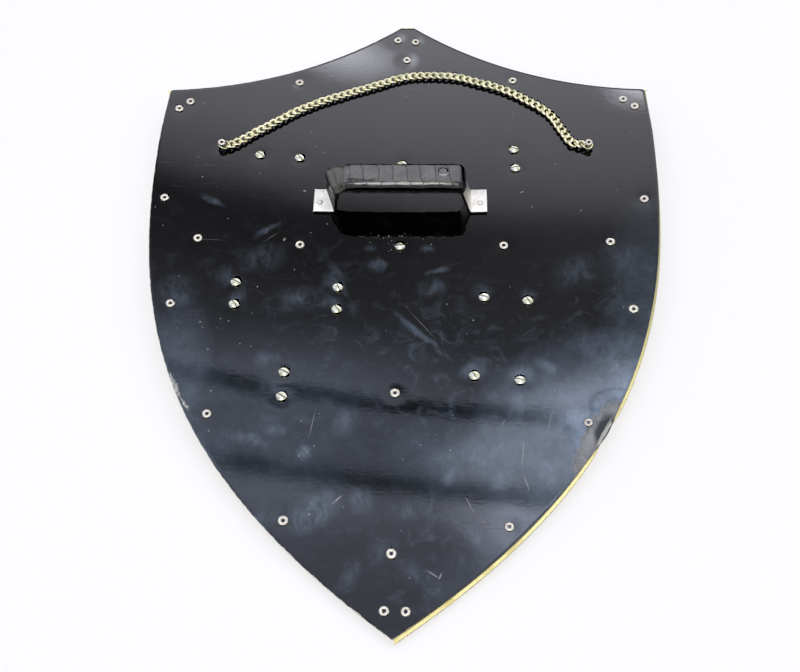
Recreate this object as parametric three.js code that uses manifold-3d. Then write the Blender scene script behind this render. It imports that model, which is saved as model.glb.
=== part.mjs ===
// A wall shield in the heater form, lying face down: the back, with its grip and hanging chain, looks up.
// X runs across the shield, +Y towards its top edge and +Z out of its back. Every length is in millimetres.
import * as THREE from "three";
import { mergeVertices } from "three/addons/utils/BufferGeometryUtils.js";
import Module from "manifold-3d";

const wasm = await Module();
wasm.setup();

// Driving sizes: clearances
const seatGap = 0.3;
const holeClearance = 0.3;
const cutOverrun = 2;

// Driving sizes: the plate, a sheet of steel bent about its long axis, hollow at the back
const halfWidth = 228.5;
const halfHeight = 300.6;
const plateThickness = 1.5;
const bendRadius = 1900;
const shoulderInset = 2;
const shoulderDrop = 95.1;
const shoulderRound = 4;
const widestDrop = 144.6;
const sidePullDown = 207;
const pointPullOut = 226;
const pointAngle = THREE.MathUtils.degToRad(34.2);
const topArcRadius = 456;
const topArcsMeetAbove = 5.5;
const plateStationShares = [
  0, 0.03, 0.09, 0.19, 0.31, 0.43, 0.55, 0.66, 0.76, 0.84, 0.9, 0.94, 0.966, 0.9825, 0.992, 1,
];

// Driving sizes: brass strips on the front
const stripWidth = 27;
const stripThickness = 1;
const stripProud = 0.8;
const leftStripProud = -0.9;
const peakProud = 2.4;
const rightStripShiftX = 0.9;
const rightStripShiftY = -2.2;
const stripOverlong = 26;
const topStripSteps = 12;
const sideStripSteps = 15;
const armSteps = 5;
const barWidth = 25;
const barEndGap = 0.4;
const barFootGap = 2;
const armY = 35.2;

// Driving sizes: tubular rivets, a dome in front and a rolled ring at the back
const rivetRadius = 2.4;
const ringRadius = 4.2;
const ringHeight = 1.8;
const ringBoreRadius = 1.2;
const ringBoreDepth = 1.4;
const domeRadius = 4.6;
const domeHeight = 1.9;
const rivetSides = 8;
const topRivetShares = [0.04, 0.455, 0.902];
const sideRivetShares = [0.039, 0.25, 0.469, 0.667, 0.835];
const lowestRivetX = 7.9;
const barRivetShares = [0.855, -0.356, -0.793];
const armRivetShares = [0.392, 0.788];

// Driving sizes: how far each rivet, set by hand, sits off its true place
const rivetDrifts = {
  rivet_top_left_1: [-0.2, 1.7], rivet_top_left_2: [0, -2.2], rivet_top_left_3: [0.7, -2.7],
  rivet_top_right_1: [-0.7, -0.6], rivet_top_right_2: [-0.7, 0], rivet_top_right_3: [-0.8, -0.2],
  rivet_side_left_1: [0.4, -2.9], rivet_side_left_2: [-1.2, -0.8], rivet_side_left_3: [1.5, 1.3],
  rivet_side_left_4: [1.4, 2], rivet_side_left_5: [-0.9, 1.8], rivet_side_left_6: [1.6, -1.8],
  rivet_side_right_1: [0, -0.5], rivet_side_right_2: [0.5, -1], rivet_side_right_3: [-1.8, -1.6],
  rivet_side_right_4: [-3.5, -2.2], rivet_side_right_5: [2.1, -0.5], rivet_side_right_6: [1.4, -2],
  rivet_upright_1: [0.2, -0.7], rivet_upright_2: [-2.7, -0.5], rivet_upright_3: [-2.2, -0.3],
  rivet_arm_left_1: [-0.3, -0.7], rivet_arm_left_2: [0.8, 1.7],
  rivet_arm_right_1: [-0.7, -0.5], rivet_arm_right_2: [0.4, -0.5],
};

// Driving sizes: badges on the front, each drawn down by two screws from the back
const badgeThickness = 3.5;
const screwRadius = 2;
const screwHeadRadius = 4.9;
const screwHeadHeight = 2.6;
const slotWidth = 1.3;
const slotDepth = 1.3;
const screwSides = 8;
const crownWidth = 56;
const crownHeight = 40;
const crownScrewSpacing = 36.9;
const lilyWidth = 34;
const lilyHeight = 46;
const lilyScrewSpacing = 21.8;
const swordTopY = 158;
const swordTipY = -88;
const swordGuardY = 88;
const swordGuardHalf = 46;
const guardThickness = 9;
const gripHalf = 6.5;
const pommelHalf = 11;
const bladeHalf = 10;
const swordScrewX = -1.8;
const swordScrewYs = [125.5, 34.7];
const badgePlaces = [
  { name: "crown_badge_upper_left", form: "crown", xShare: -0.506, yShare: 0.439, turn: -2.6 },
  { name: "crown_badge_lower_right_high", form: "crown", xShare: 0.391, yShare: -0.066, turn: -6.3 },
  { name: "crown_badge_lower_right_low", form: "crown", xShare: 0.35, yShare: -0.313, turn: -6.9 },
  { name: "lily_badge_upper_right", form: "lily", xShare: 0.446, yShare: 0.433, turn: 2 },
  { name: "lily_badge_lower_left_outer", form: "lily", xShare: -0.619, yShare: -0.058, turn: 2 },
  { name: "lily_badge_lower_left_inner", form: "lily", xShare: -0.237, yShare: -0.064, turn: 0.3 },
  { name: "lily_badge_lower_left_low", form: "lily", xShare: -0.411, yShare: -0.338, turn: -0.5 },
];

// Driving sizes: the grip, a flat strap bent up off the back with two feet, and the tape wound round it
const strapWidth = 25;
const strapThickness = 2.5;
const strapY = 81.9;
const strapBendRadius = 3;
const leftFootEnd = 80.5;
const leftFootBend = 64.8;
const leftLegTop = 61.5;
const leftLegHeight = 30.5;
const leftShoulder = 50;
const rightShoulder = 50.5;
const rightFootBend = 59.6;
const rightFootEnd = 75.3;
const gripHeight = 35.5;
const legSkewShare = -0.34;
const footRivetRadius = 1.6;
const footRivetHeadRadius = 2.6;
const footRivetHeadHeight = 1;
const footRivetCrownShare = 0.7;
const leftFootRivet = 75;
const rightFootRivet = 69.3;
const footRivetDrop = 2.3;
const wrapWidth = 26.8;
const wrapDepth = 12.5;
const wrapLegDepth = 6.5;
const wrapLap = 0.5;
const wrapTurns = 10;
const wrapStations = 44;
const wrapLeftDrop = 5;
const wrapRightDrop = 2;
const wrapFade = 8;
const wrapSides = 16;
const wrapSideShare = 0.5;
const wrapTopShare = 0.7;

// Driving sizes: the curb chain between two rivets
const chainInset = 58.9;
const chainDrop = 161.1;
const chainRise = 94.8;
const wireRadius = 1.15;
const linkHalfLength = 4.4;
const linkHalfWidth = 3.5;
const linkPitch = 6.72;
const endWireRadius = 1;
const endLinkHalfLength = 4.95;
const endLinkHalfWidth = 4.15;
const endLinkPitch = 6.05;
const endLinkSlack = 0.9;
const linkTwist = THREE.MathUtils.degToRad(45);
const linkSteps = 9;
const linkSides = 4;
const chainNeckRadius = 1.3;
const chainNeckHeight = 7.2;
const chainEndLift = 1.1;
const chainLiftReach = 24;
const chainPathShares = [
  [0, 0], [0.022, 0.01], [0.05, 0.08], [0.071, 0.148], [0.113, 0.264], [0.143, 0.35], [0.205, 0.511],
  [0.261, 0.625], [0.339, 0.748], [0.417, 0.862], [0.49, 0.962], [0.555, 0.991], [0.641, 0.967],
  [0.716, 0.872], [0.765, 0.801], [0.807, 0.715], [0.85, 0.601], [0.889, 0.483], [0.912, 0.375],
  [0.927, 0.256], [0.94, 0.165], [0.958, 0.045], [0.978, 0.02], [1, 0],
];

// Worked-out heights: the front of the sword lies at zero
const barBack = badgeThickness + seatGap + stripThickness;
const plateFront = barBack + seatGap;
const plateBack = plateFront + plateThickness;
const shankFront = plateThickness + seatGap + stripThickness;

// Worked-out places: the shoulders, the widest places and the two rivets that hold the chain
const shoulderX = halfWidth - shoulderInset;
const shoulderY = halfHeight - shoulderDrop;
const widestY = halfHeight - widestDrop;
const chainHalfSpan = halfWidth - chainInset;
const chainY = halfHeight - chainDrop;

// Colours and finishes
function finish(color, roughness, metalness) {
  return new THREE.MeshStandardMaterial({ color, roughness, metalness });
}
const blackPaint = () => finish(0x16171a, 0.15, 0.1);
const brass = () => finish(0xb5893a, 0.3, 1);
const nickel = () => finish(0xd6d2c2, 0.35, 1);
const bareSteel = () => finish(0xc9c7c0, 0.45, 1);
const chainMetal = () => finish(0xc3c39a, 0.35, 1);
const wrapTape = () => finish(0x1b1b1d, 0.45, 0);

const group = new THREE.Group();
group.name = "shield";

function addNode(name, solidOrGeometry, material) {
  const geometry = solidOrGeometry.isBufferGeometry ? solidOrGeometry : geometryOf(solidOrGeometry);
  const mesh = new THREE.Mesh(geometry, material);
  mesh.name = name;
  group.add(mesh);
}

// Turns a closed geometry into a solid that can be cut and joined
function solidOf(geometry) {
  const bare = geometry.clone();
  bare.deleteAttribute("normal");
  bare.deleteAttribute("uv");
  const merged = mergeVertices(bare);
  const vertProperties = new Float32Array(merged.attributes.position.array);
  const triVerts = new Uint32Array(merged.index.array);
  return new wasm.Manifold(new wasm.Mesh({ numProp: 3, vertProperties, triVerts }));
}

function geometryOf(solid) {
  const mesh = solid.getMesh();
  const geometry = new THREE.BufferGeometry();
  geometry.setAttribute("position", new THREE.BufferAttribute(mesh.vertProperties, 3));
  geometry.setIndex(new THREE.BufferAttribute(mesh.triVerts, 1));
  return geometry;
}

// A closed body through a row of sections with the same number of points, capped or joined end to end
function loft(sections, endless = false) {
  const sides = sections[0].length;
  const points = sections.flat();
  const triangles = [];
  const rings = endless ? sections.length : sections.length - 1;
  for (let i = 0; i < rings; i += 1) {
    const near = i * sides;
    const far = ((i + 1) % sections.length) * sides;
    for (let j = 0; j < sides; j += 1) {
      const next = (j + 1) % sides;
      triangles.push([near + j, far + j, far + next], [near + j, far + next, near + next]);
    }
  }
  if (!endless) {
    const last = (sections.length - 1) * sides;
    for (let j = 1; j < sides - 1; j += 1) {
      triangles.push([0, j, j + 1], [last, last + j + 1, last + j]);
    }
  }
  const signedVolume = triangles.reduce(
    (sum, [a, b, c]) => sum + points[a].dot(points[b].clone().cross(points[c])),
    0,
  );
  const facing = signedVolume < 0 ? triangles.map(([a, b, c]) => [a, c, b]) : triangles;
  const geometry = new THREE.BufferGeometry();
  geometry.setAttribute("position", new THREE.Float32BufferAttribute(points.flatMap((p) => p.toArray()), 3));
  geometry.setIndex(facing.flat());
  return geometry;
}

// The bent sheet: its rise off the flat, and the frame of a place on its back with Z along the normal there
const rise = (x) => (x * x) / (2 * bendRadius);

function backFrame(x, y, alongX = 1, alongY = 0, lift = 0) {
  const normal = new THREE.Vector3(-x / bendRadius, 0, 1).normalize();
  const along = new THREE.Vector3(alongX, alongY, 0);
  along.addScaledVector(normal, -along.dot(normal)).normalize();
  const across = normal.clone().cross(along);
  const place = new THREE.Vector3(x, y, plateBack + rise(x)).addScaledVector(normal, lift);
  return new THREE.Matrix4().makeBasis(along, across, normal).setPosition(place);
}

// The outline: two concave arcs meet in a blunt peak, and two long bows meet in the point. Each arc runs from
// just above the peak to its shoulder, about a centre beyond the top edge.
const topArcStart = new THREE.Vector2(0, halfHeight + topArcsMeetAbove);
const topArcEnd = new THREE.Vector2(shoulderX, shoulderY);
const topChord = topArcEnd.clone().sub(topArcStart);
const topArcCentre = topArcStart
  .clone()
  .add(topArcEnd)
  .multiplyScalar(0.5)
  .addScaledVector(
    new THREE.Vector2(-topChord.y, topChord.x).normalize(),
    Math.sqrt(topArcRadius ** 2 - topChord.lengthSq() / 4),
  );

const topEdge = (x) => {
  const reach = Math.abs(x) - topArcCentre.x;
  return topArcCentre.y - Math.sqrt(topArcRadius ** 2 - reach ** 2);
};

const sideCurve = new THREE.CubicBezierCurve(
  new THREE.Vector2(halfWidth, widestY),
  new THREE.Vector2(halfWidth, widestY - sidePullDown),
  new THREE.Vector2(pointPullOut * Math.cos(pointAngle), -halfHeight + pointPullOut * Math.sin(pointAngle)),
  new THREE.Vector2(0, -halfHeight),
);

// Halves an interval until the falling function crosses zero
const halvings = 40;
function crossing(fallingFunction, low, high) {
  let [from, to] = [low, high];
  for (let i = 0; i < halvings; i += 1) {
    const middle = (from + to) / 2;
    if (fallingFunction(middle) > 0) from = middle;
    else to = middle;
  }
  return (from + to) / 2;
}

function bottomEdge(x) {
  return sideCurve.getPoint(crossing((t) => sideCurve.getPoint(t).x - x, 0, 1)).y;
}

function shoulderEdge(x) {
  if (x <= shoulderX - shoulderRound) return topEdge(x);
  const roundY = topEdge(shoulderX - shoulderRound) - shoulderRound;
  if (x <= shoulderX) return roundY + Math.sqrt(shoulderRound ** 2 - (x - shoulderX + shoulderRound) ** 2);
  return THREE.MathUtils.mapLinear(x, shoulderX, halfWidth, roundY, widestY);
}

function upperEdge(x) {
  return Math.min(halfHeight, shoulderEdge(x));
}

// Rivet and screw places, worked out from the strips that they hold
const rivetInset = stripWidth / 2;

function topRivetPlace(share) {
  const x = share * halfWidth;
  const slope = (topEdge(x + seatGap) - topEdge(x - seatGap)) / (2 * seatGap);
  return [x, topEdge(x) - rivetInset * Math.hypot(1, slope)];
}

function insetSidePoint(t, inset) {
  const point = sideCurve.getPoint(t);
  const tangent = sideCurve.getTangent(t);
  return [point.x + tangent.y * inset, point.y - tangent.x * inset];
}

function sideRivetPlace(share) {
  const y = THREE.MathUtils.lerp(shoulderY, -halfHeight, share);
  if (y >= widestY) return [halfWidth - rivetInset, y];
  return insetSidePoint(crossing((t) => insetSidePoint(t, rivetInset)[1] - y, 0, 1), rivetInset);
}

function lowestRivetPlace() {
  return insetSidePoint(crossing((t) => insetSidePoint(t, rivetInset)[0] - lowestRivetX, 0, 1), rivetInset);
}

// Every rivet of the border and the cross, moved by its drift
const borderRivets = [];
const crossRivets = [];
function addRivet(list, name, x, y) {
  const [driftX, driftY] = rivetDrifts[name];
  list.push({ name, x: x + driftX, y: y + driftY });
}
for (const [side, sign] of [["left", -1], ["right", 1]]) {
  topRivetShares.forEach((share, i) => {
    const [x, y] = topRivetPlace(share);
    addRivet(borderRivets, `rivet_top_${side}_${i + 1}`, sign * x, y);
  });
  [...sideRivetShares.map(sideRivetPlace), lowestRivetPlace()].forEach(([x, y], i) => {
    addRivet(borderRivets, `rivet_side_${side}_${i + 1}`, sign * x, y);
  });
}
barRivetShares.forEach((share, i) => addRivet(crossRivets, `rivet_upright_${i + 1}`, 0, share * halfHeight));
for (const [side, sign] of [["left", -1], ["right", 1]]) {
  armRivetShares.forEach((share, i) => {
    addRivet(crossRivets, `rivet_arm_${side}_${i + 1}`, sign * share * halfWidth, armY);
  });
}
const chainRivets = [
  { name: "rivet_chain_left", x: -chainHalfSpan, y: chainY },
  { name: "rivet_chain_right", x: chainHalfSpan, y: chainY },
];
const footRivets = [
  { name: "grip_rivet_left", x: -leftFootRivet, y: strapY - footRivetDrop },
  { name: "grip_rivet_right", x: rightFootRivet, y: strapY - footRivetDrop },
];

function screwPlaces({ form, xShare, yShare, turn }) {
  const angle = THREE.MathUtils.degToRad(turn);
  const [reach, heading] = {
    crown: [crownScrewSpacing / 2, angle],
    lily: [lilyScrewSpacing / 2, angle + Math.PI / 2],
  }[form];
  return [-1, 1].map((end) => [
    xShare * halfWidth + end * reach * Math.cos(heading),
    yShare * halfHeight + end * reach * Math.sin(heading),
  ]);
}
const swordScrews = swordScrewYs.map((y) => [swordScrewX, y]);

// A drill through the whole stack, along the normal of the sheet
function drill(x, y, radius) {
  const depth = plateBack + rise(x) + strapThickness + 2 * cutOverrun;
  const cutter = new THREE.CylinderGeometry(radius, radius, 2 * depth, rivetSides);
  cutter.rotateX(Math.PI / 2);
  cutter.applyMatrix4(backFrame(x, y));
  return solidOf(cutter);
}

const rivetDrills = [...borderRivets, ...crossRivets].map(({ x, y }) =>
  drill(x, y, rivetRadius + holeClearance),
);
const chainDrills = chainRivets.map(({ x, y }) => drill(x, y, rivetRadius + holeClearance));
const screwDrills = [...badgePlaces.flatMap(screwPlaces), ...swordScrews].map(([x, y]) =>
  drill(x, y, screwRadius + holeClearance),
);
const footDrills = footRivets.map(({ x, y }) => drill(x, y, footRivetRadius + holeClearance));

function cutWith(solid, cutters) {
  return cutters.reduce((left, cutter) => left.subtract(cutter), solid);
}

// The plate: one sheet, drilled for every rivet and screw
function makePlate() {
  const xs = plateStationShares.map((share) => share * halfWidth);
  const stations = [...xs.slice(1).reverse().map((x) => -x), ...xs];
  const sections = stations.map((x) => {
    const low = bottomEdge(Math.abs(x));
    const high = upperEdge(Math.abs(x));
    const front = plateFront + rise(x);
    const back = plateBack + rise(x);
    return [
      new THREE.Vector3(x, low, front),
      new THREE.Vector3(x, high, front),
      new THREE.Vector3(x, high, back),
      new THREE.Vector3(x, low, back),
    ];
  });
  const sheet = solidOf(loft(sections));
  return cutWith(sheet, [...rivetDrills, ...chainDrills, ...screwDrills, ...footDrills]);
}
addNode("back_plate", makePlate(), blackPaint());

// A strip section from its outer to its inner edge point, lying on the front of the plate
function stripSection(outerX, outerY, innerX, innerY) {
  const heightAt = (x) => plateFront - seatGap + rise(x);
  return [
    new THREE.Vector3(outerX, outerY, heightAt(outerX) - stripThickness),
    new THREE.Vector3(innerX, innerY, heightAt(innerX) - stripThickness),
    new THREE.Vector3(innerX, innerY, heightAt(innerX)),
    new THREE.Vector3(outerX, outerY, heightAt(outerX)),
  ];
}

// A tall prism over a flat outline, to trim a strip to its mitres
function sector(corners) {
  const shape = new THREE.Shape(corners.map(([x, y]) => new THREE.Vector2(x, y)));
  const depth = plateBack + rise(halfWidth) + 2 * cutOverrun;
  const prism = new THREE.ExtrudeGeometry(shape, { depth, bevelEnabled: false });
  prism.translate(0, 0, -cutOverrun);
  return solidOf(prism);
}

// The mitre at a shoulder runs from where the outer edges meet to where the inner ones do
const mitreInner = new THREE.Vector2(halfWidth - stripWidth, topEdge(halfWidth - stripWidth) - stripWidth);
const mitreOuter = new THREE.Vector2(halfWidth + stripProud, topEdge(halfWidth) + stripProud);
const mitreRun = mitreOuter.clone().sub(mitreInner);
const farOut = halfWidth + stripOverlong;

function makeTopStrip() {
  const sections = [];
  const outer = (topArcRadius - stripProud) / topArcRadius;
  const inner = (topArcRadius + stripWidth) / topArcRadius;
  for (let i = 0; i <= topStripSteps; i += 1) {
    const reach = THREE.MathUtils.lerp(-stripOverlong, farOut, i / topStripSteps) - topArcCentre.x;
    const height = Math.sqrt(topArcRadius ** 2 - reach ** 2);
    sections.push(
      stripSection(
        topArcCentre.x + reach * outer,
        topArcCentre.y - height * outer,
        topArcCentre.x + reach * inner,
        topArcCentre.y - height * inner,
      ),
    );
  }
  const trim = sector([
    [seatGap / 2, mitreInner.y - mitreRun.y],
    [mitreInner.x - mitreRun.x, mitreInner.y - mitreRun.y + seatGap],
    [mitreOuter.x + mitreRun.x, mitreOuter.y + mitreRun.y + seatGap],
    [farOut, halfHeight + peakProud],
    [seatGap / 2, halfHeight + peakProud],
  ]);
  return solidOf(loft(sections)).intersect(trim);
}

function makeSideStrip(proud) {
  const overTop = shoulderY + stripOverlong;
  const sections = [stripSection(halfWidth + proud, overTop, halfWidth - stripWidth, overTop)];
  for (let i = 0; i <= sideStripSteps; i += 1) {
    const [outerX, outerY] = insetSidePoint(i / sideStripSteps, -proud);
    const [innerX, innerY] = insetSidePoint(i / sideStripSteps, stripWidth);
    sections.push(stripSection(outerX, outerY, innerX, innerY));
  }
  const [endOuterX, endOuterY] = insetSidePoint(1, -proud);
  const [endInnerX, endInnerY] = insetSidePoint(1, stripWidth);
  const slideX = -stripOverlong * Math.cos(pointAngle);
  const slideY = -stripOverlong * Math.sin(pointAngle);
  sections.push(stripSection(endOuterX + slideX, endOuterY + slideY, endInnerX + slideX, endInnerY + slideY));
  const trim = sector([
    [seatGap / 2, -halfHeight - stripOverlong],
    [mitreOuter.x + mitreRun.x, -halfHeight - stripOverlong],
    [mitreOuter.x + mitreRun.x, mitreOuter.y + mitreRun.y],
    [mitreInner.x - mitreRun.x, mitreInner.y - mitreRun.y],
    [seatGap / 2, mitreInner.y - mitreRun.y],
  ]);
  return solidOf(loft(sections)).intersect(trim);
}

// A mirrored copy of a solid, across the long axis
function mirrored(solid) {
  const geometry = geometryOf(solid);
  geometry.scale(-1, 1, 1);
  const index = geometry.index.array;
  for (let i = 0; i < index.length; i += 3) [index[i + 1], index[i + 2]] = [index[i + 2], index[i + 1]];
  return solidOf(geometry);
}

function shifted(solid, x, y) {
  const geometry = geometryOf(solid);
  geometry.translate(x, y, 0);
  return solidOf(geometry);
}

const topStrip = makeTopStrip();
addNode("border_strip_top_left", cutWith(mirrored(topStrip), rivetDrills), brass());
addNode("border_strip_top_right", cutWith(topStrip, rivetDrills), brass());
const leftSideStrip = mirrored(makeSideStrip(leftStripProud));
addNode("border_strip_side_left", cutWith(leftSideStrip, rivetDrills), brass());
const slippedStrip = shifted(makeSideStrip(stripProud), rightStripShiftX, rightStripShiftY);
addNode("border_strip_side_right", cutWith(slippedStrip, rivetDrills), brass());

// The cross: an upright bar, and an arm on each side of it
function makeUpright() {
  const half = barWidth / 2;
  const stripFoot = Math.sqrt((topArcRadius + stripWidth) ** 2 - (topArcCentre.x - half) ** 2);
  const top = topArcCentre.y - stripFoot - barEndGap;
  const bottom = -halfHeight + (stripWidth + half * Math.sin(pointAngle)) / Math.cos(pointAngle) + barFootGap;
  const sections = [-half, 0, half].map((x) => stripSection(x, top, x, bottom));
  return solidOf(loft(sections));
}

function makeArm() {
  const from = barWidth / 2 + barEndGap;
  const innerEdge = crossing((t) => insetSidePoint(t, stripWidth)[1] - (armY - barWidth / 2), 0, 1);
  const to = insetSidePoint(innerEdge, stripWidth)[0] - barEndGap;
  const sections = [];
  for (let i = 0; i <= armSteps; i += 1) {
    const x = THREE.MathUtils.lerp(from, to, i / armSteps);
    sections.push(stripSection(x, armY + barWidth / 2, x, armY - barWidth / 2));
  }
  return solidOf(loft(sections));
}
const arm = makeArm();
addNode("cross_bar_upright", cutWith(makeUpright(), [...rivetDrills, ...screwDrills]), brass());
addNode("cross_bar_arm_left", cutWith(mirrored(arm), rivetDrills), brass());
addNode("cross_bar_arm_right", cutWith(arm, rivetDrills), brass());

// A turned piece on the Z axis from (radius, height) pairs, lowest first
function turned(profile, sides) {
  const points = profile.map(([radius, height]) => new THREE.Vector2(radius, height));
  const geometry = new THREE.LatheGeometry(points, sides);
  geometry.rotateX(Math.PI / 2);
  return geometry;
}

function tubularRivet(frontDepth, neckProfile) {
  const front = -frontDepth - seatGap;
  const underRing = neckProfile.at(-1)[1];
  const top = underRing + ringHeight;
  return turned(
    [
      [0, front - domeHeight],
      [domeRadius * 0.7, front - domeHeight * 0.6],
      [domeRadius, front],
      [rivetRadius, front],
      ...neckProfile,
      [ringRadius, underRing + ringHeight * 0.35],
      [ringRadius * 0.75, top],
      [ringBoreRadius, top],
      [0, top - ringBoreDepth],
    ],
    rivetSides,
  );
}

function placeRivets(rivets, frontDepth, neckProfile) {
  for (const { name, x, y } of rivets) {
    const geometry = tubularRivet(frontDepth, neckProfile);
    geometry.applyMatrix4(backFrame(x, y));
    addNode(name, solidOf(geometry), nickel());
  }
}
placeRivets([...borderRivets, ...crossRivets], shankFront, [[rivetRadius, seatGap]]);
placeRivets(chainRivets, plateThickness, [
  [rivetRadius, 0],
  [chainNeckRadius, 0],
  [chainNeckRadius, chainNeckHeight],
]);

// A screw: a plain shank through the plate and a domed head with a slot, at the back
function screw(x, y, slotTurn) {
  const shankBottom = -plateThickness - 2 * seatGap - stripThickness - badgeThickness / 2;
  const body = solidOf(
    turned(
      [
        [0, shankBottom],
        [screwRadius, shankBottom],
        [screwRadius, seatGap],
        [screwHeadRadius, seatGap],
        [screwHeadRadius * 0.92, seatGap + screwHeadHeight * 0.45],
        [screwHeadRadius * 0.55, seatGap + screwHeadHeight * 0.9],
        [0, seatGap + screwHeadHeight],
      ],
      screwSides,
    ),
  );
  const slot = new THREE.BoxGeometry(2 * screwHeadRadius + cutOverrun, slotWidth, 2 * slotDepth);
  slot.translate(0, 0, seatGap + screwHeadHeight);
  slot.rotateZ(slotTurn);
  const geometry = geometryOf(body.subtract(solidOf(slot)));
  geometry.applyMatrix4(backFrame(x, y));
  return solidOf(geometry);
}

// Flat badge outlines, drawn upright about their middle in shares of their width and height
function crownShape() {
  const outlineShares = [
    [-0.36, -0.5], [0.36, -0.5], [0.36, -0.27], [0.5, 0.28], [0.27, -0.02], [0.18, 0.38], [0.1, 0.03],
    [0, 0.5], [-0.1, 0.03], [-0.18, 0.38], [-0.27, -0.02], [-0.5, 0.28], [-0.36, -0.27],
  ];
  return new THREE.Shape(outlineShares.map(([u, v]) => new THREE.Vector2(u * crownWidth, v * crownHeight)));
}

function lilyShape() {
  const halfOutlineShares = [
    [0, 0.5], [0.13, 0.32], [0.17, 0.12], [0.09, -0.06], [0.27, -0.04], [0.31, 0.1], [0.26, 0.2],
    [0.38, 0.24], [0.49, 0.12], [0.46, -0.08], [0.32, -0.18], [0.14, -0.17], [0.26, -0.23], [0.26, -0.29],
    [0.11, -0.3], [0.2, -0.41], [0.09, -0.4], [0, -0.5],
  ];
  const right = halfOutlineShares.map(([u, v]) => new THREE.Vector2(u * lilyWidth, v * lilyHeight));
  const left = right.slice(1, -1).reverse().map((p) => new THREE.Vector2(-p.x, p.y));
  return new THREE.Shape([...right, ...left].reverse());
}

function swordShape() {
  const guardTop = swordGuardY + guardThickness / 2;
  const guardBottom = swordGuardY - guardThickness / 2;
  const right = [
    [pommelHalf * 0.6, swordTopY],
    [pommelHalf, swordTopY - pommelHalf * 0.7],
    [pommelHalf, swordTopY - pommelHalf * 1.4],
    [gripHalf, swordTopY - pommelHalf * 2],
    [gripHalf * 0.85, guardTop],
    [swordGuardHalf - guardThickness, guardTop],
    [swordGuardHalf, guardTop + guardThickness * 0.25],
    [swordGuardHalf, guardBottom - guardThickness * 0.25],
    [swordGuardHalf - guardThickness, guardBottom],
    [bladeHalf, guardBottom],
    [bladeHalf * 0.72, swordTipY + bladeHalf * 2.2],
  ];
  const left = right.map(([x, y]) => [-x, y]).reverse();
  const outline = [...right, [0, swordTipY], ...left].reverse();
  return new THREE.Shape(outline.map(([x, y]) => new THREE.Vector2(x, y)));
}

function badgeSolid(shape, frame, backDepth) {
  const slab = new THREE.ExtrudeGeometry(shape, { depth: badgeThickness, bevelEnabled: false });
  slab.translate(0, 0, -backDepth - badgeThickness);
  slab.applyMatrix4(frame);
  return solidOf(slab);
}

// The screws were driven home with their slots at any angle
const slotTurns = [0.9, 2.3];

function withScrews(badge, places) {
  return places.reduce((joined, [x, y], i) => joined.add(screw(x, y, slotTurns[i])), badge);
}

for (const place of badgePlaces) {
  const x = place.xShare * halfWidth;
  const y = place.yShare * halfHeight;
  const turn = THREE.MathUtils.degToRad(place.turn);
  const shape = place.form === "crown" ? crownShape() : lilyShape();
  const frame = backFrame(x, y, Math.cos(turn), Math.sin(turn));
  const badge = badgeSolid(shape, frame, plateThickness + seatGap);
  addNode(place.name, withScrews(badge, screwPlaces(place)), brass());
}
const swordFrame = new THREE.Matrix4().setPosition(0, 0, plateBack);
const sword = badgeSolid(swordShape(), swordFrame, plateBack - badgeThickness);
addNode("sword_badge", withScrews(sword, swordScrews), brass());

// The grip's middle line in the XZ plane, from the left foot's end to the right one's. Skew turns the
// left leg a little about its own length, because its lower bends were not made square.
const onBack = (x) => plateBack + rise(x) + seatGap + strapThickness / 2;
const gripZ = plateBack + gripHeight;
const gripCorners = [
  { x: -leftFootEnd, z: onBack(leftFootEnd), skew: 0 },
  { x: -leftFootBend, z: onBack(leftFootBend), skew: legSkewShare },
  { x: -leftLegTop, z: plateBack + leftLegHeight, skew: legSkewShare },
  { x: -leftShoulder, z: gripZ, skew: 0 },
  { x: rightShoulder, z: gripZ, skew: 0 },
  { x: rightFootBend, z: onBack(rightFootBend), skew: 0 },
  { x: rightFootEnd, z: onBack(rightFootEnd), skew: 0 },
];

// Rounds each corner of the middle line with a short arc of three points
function roundedLine(corners, radius) {
  const line = [corners[0]];
  for (let i = 1; i < corners.length - 1; i += 1) {
    const [before, corner, after] = [corners[i - 1], corners[i], corners[i + 1]];
    const into = new THREE.Vector2(corner.x - before.x, corner.z - before.z).normalize();
    const out = new THREE.Vector2(after.x - corner.x, after.z - corner.z).normalize();
    const turn = Math.acos(THREE.MathUtils.clamp(into.dot(out), -1, 1));
    const cut = radius * Math.tan(turn / 2);
    const start = new THREE.Vector2(corner.x, corner.z).addScaledVector(into, -cut);
    const end = new THREE.Vector2(corner.x, corner.z).addScaledVector(out, cut);
    const sag = radius / Math.cos(turn / 2) - radius;
    const inward = out.clone().sub(into).normalize();
    const middle = new THREE.Vector2(corner.x, corner.z).addScaledVector(inward, sag);
    for (const point of [start, middle, end]) line.push({ x: point.x, z: point.y, skew: corner.skew });
  }
  line.push(corners.at(-1));
  return line;
}

// Gives each point of a line its tangent, with the mitre share that keeps an offset at full thickness
function withTangents(line) {
  return line.map((point, i) => {
    const before = line[Math.max(i - 1, 0)];
    const after = line[Math.min(i + 1, line.length - 1)];
    const into = new THREE.Vector2(point.x - before.x, point.z - before.z).normalize();
    const out = new THREE.Vector2(after.x - point.x, after.z - point.z).normalize();
    const tangent = into.clone().add(out).normalize();
    const straight = i > 0 ? into : out;
    return { ...point, tangent, mitre: 1 / tangent.dot(straight) };
  });
}

const gripLine = withTangents(roundedLine(gripCorners, strapBendRadius));

// A place on the grip: out along the line's normal, and across in Y from the strap's middle
function gripPoint(point, out, across) {
  const x = point.x - point.tangent.y * out * point.mitre + point.skew * across;
  const z = point.z + point.tangent.x * out * point.mitre;
  return new THREE.Vector3(x, strapY + across, z);
}

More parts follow.
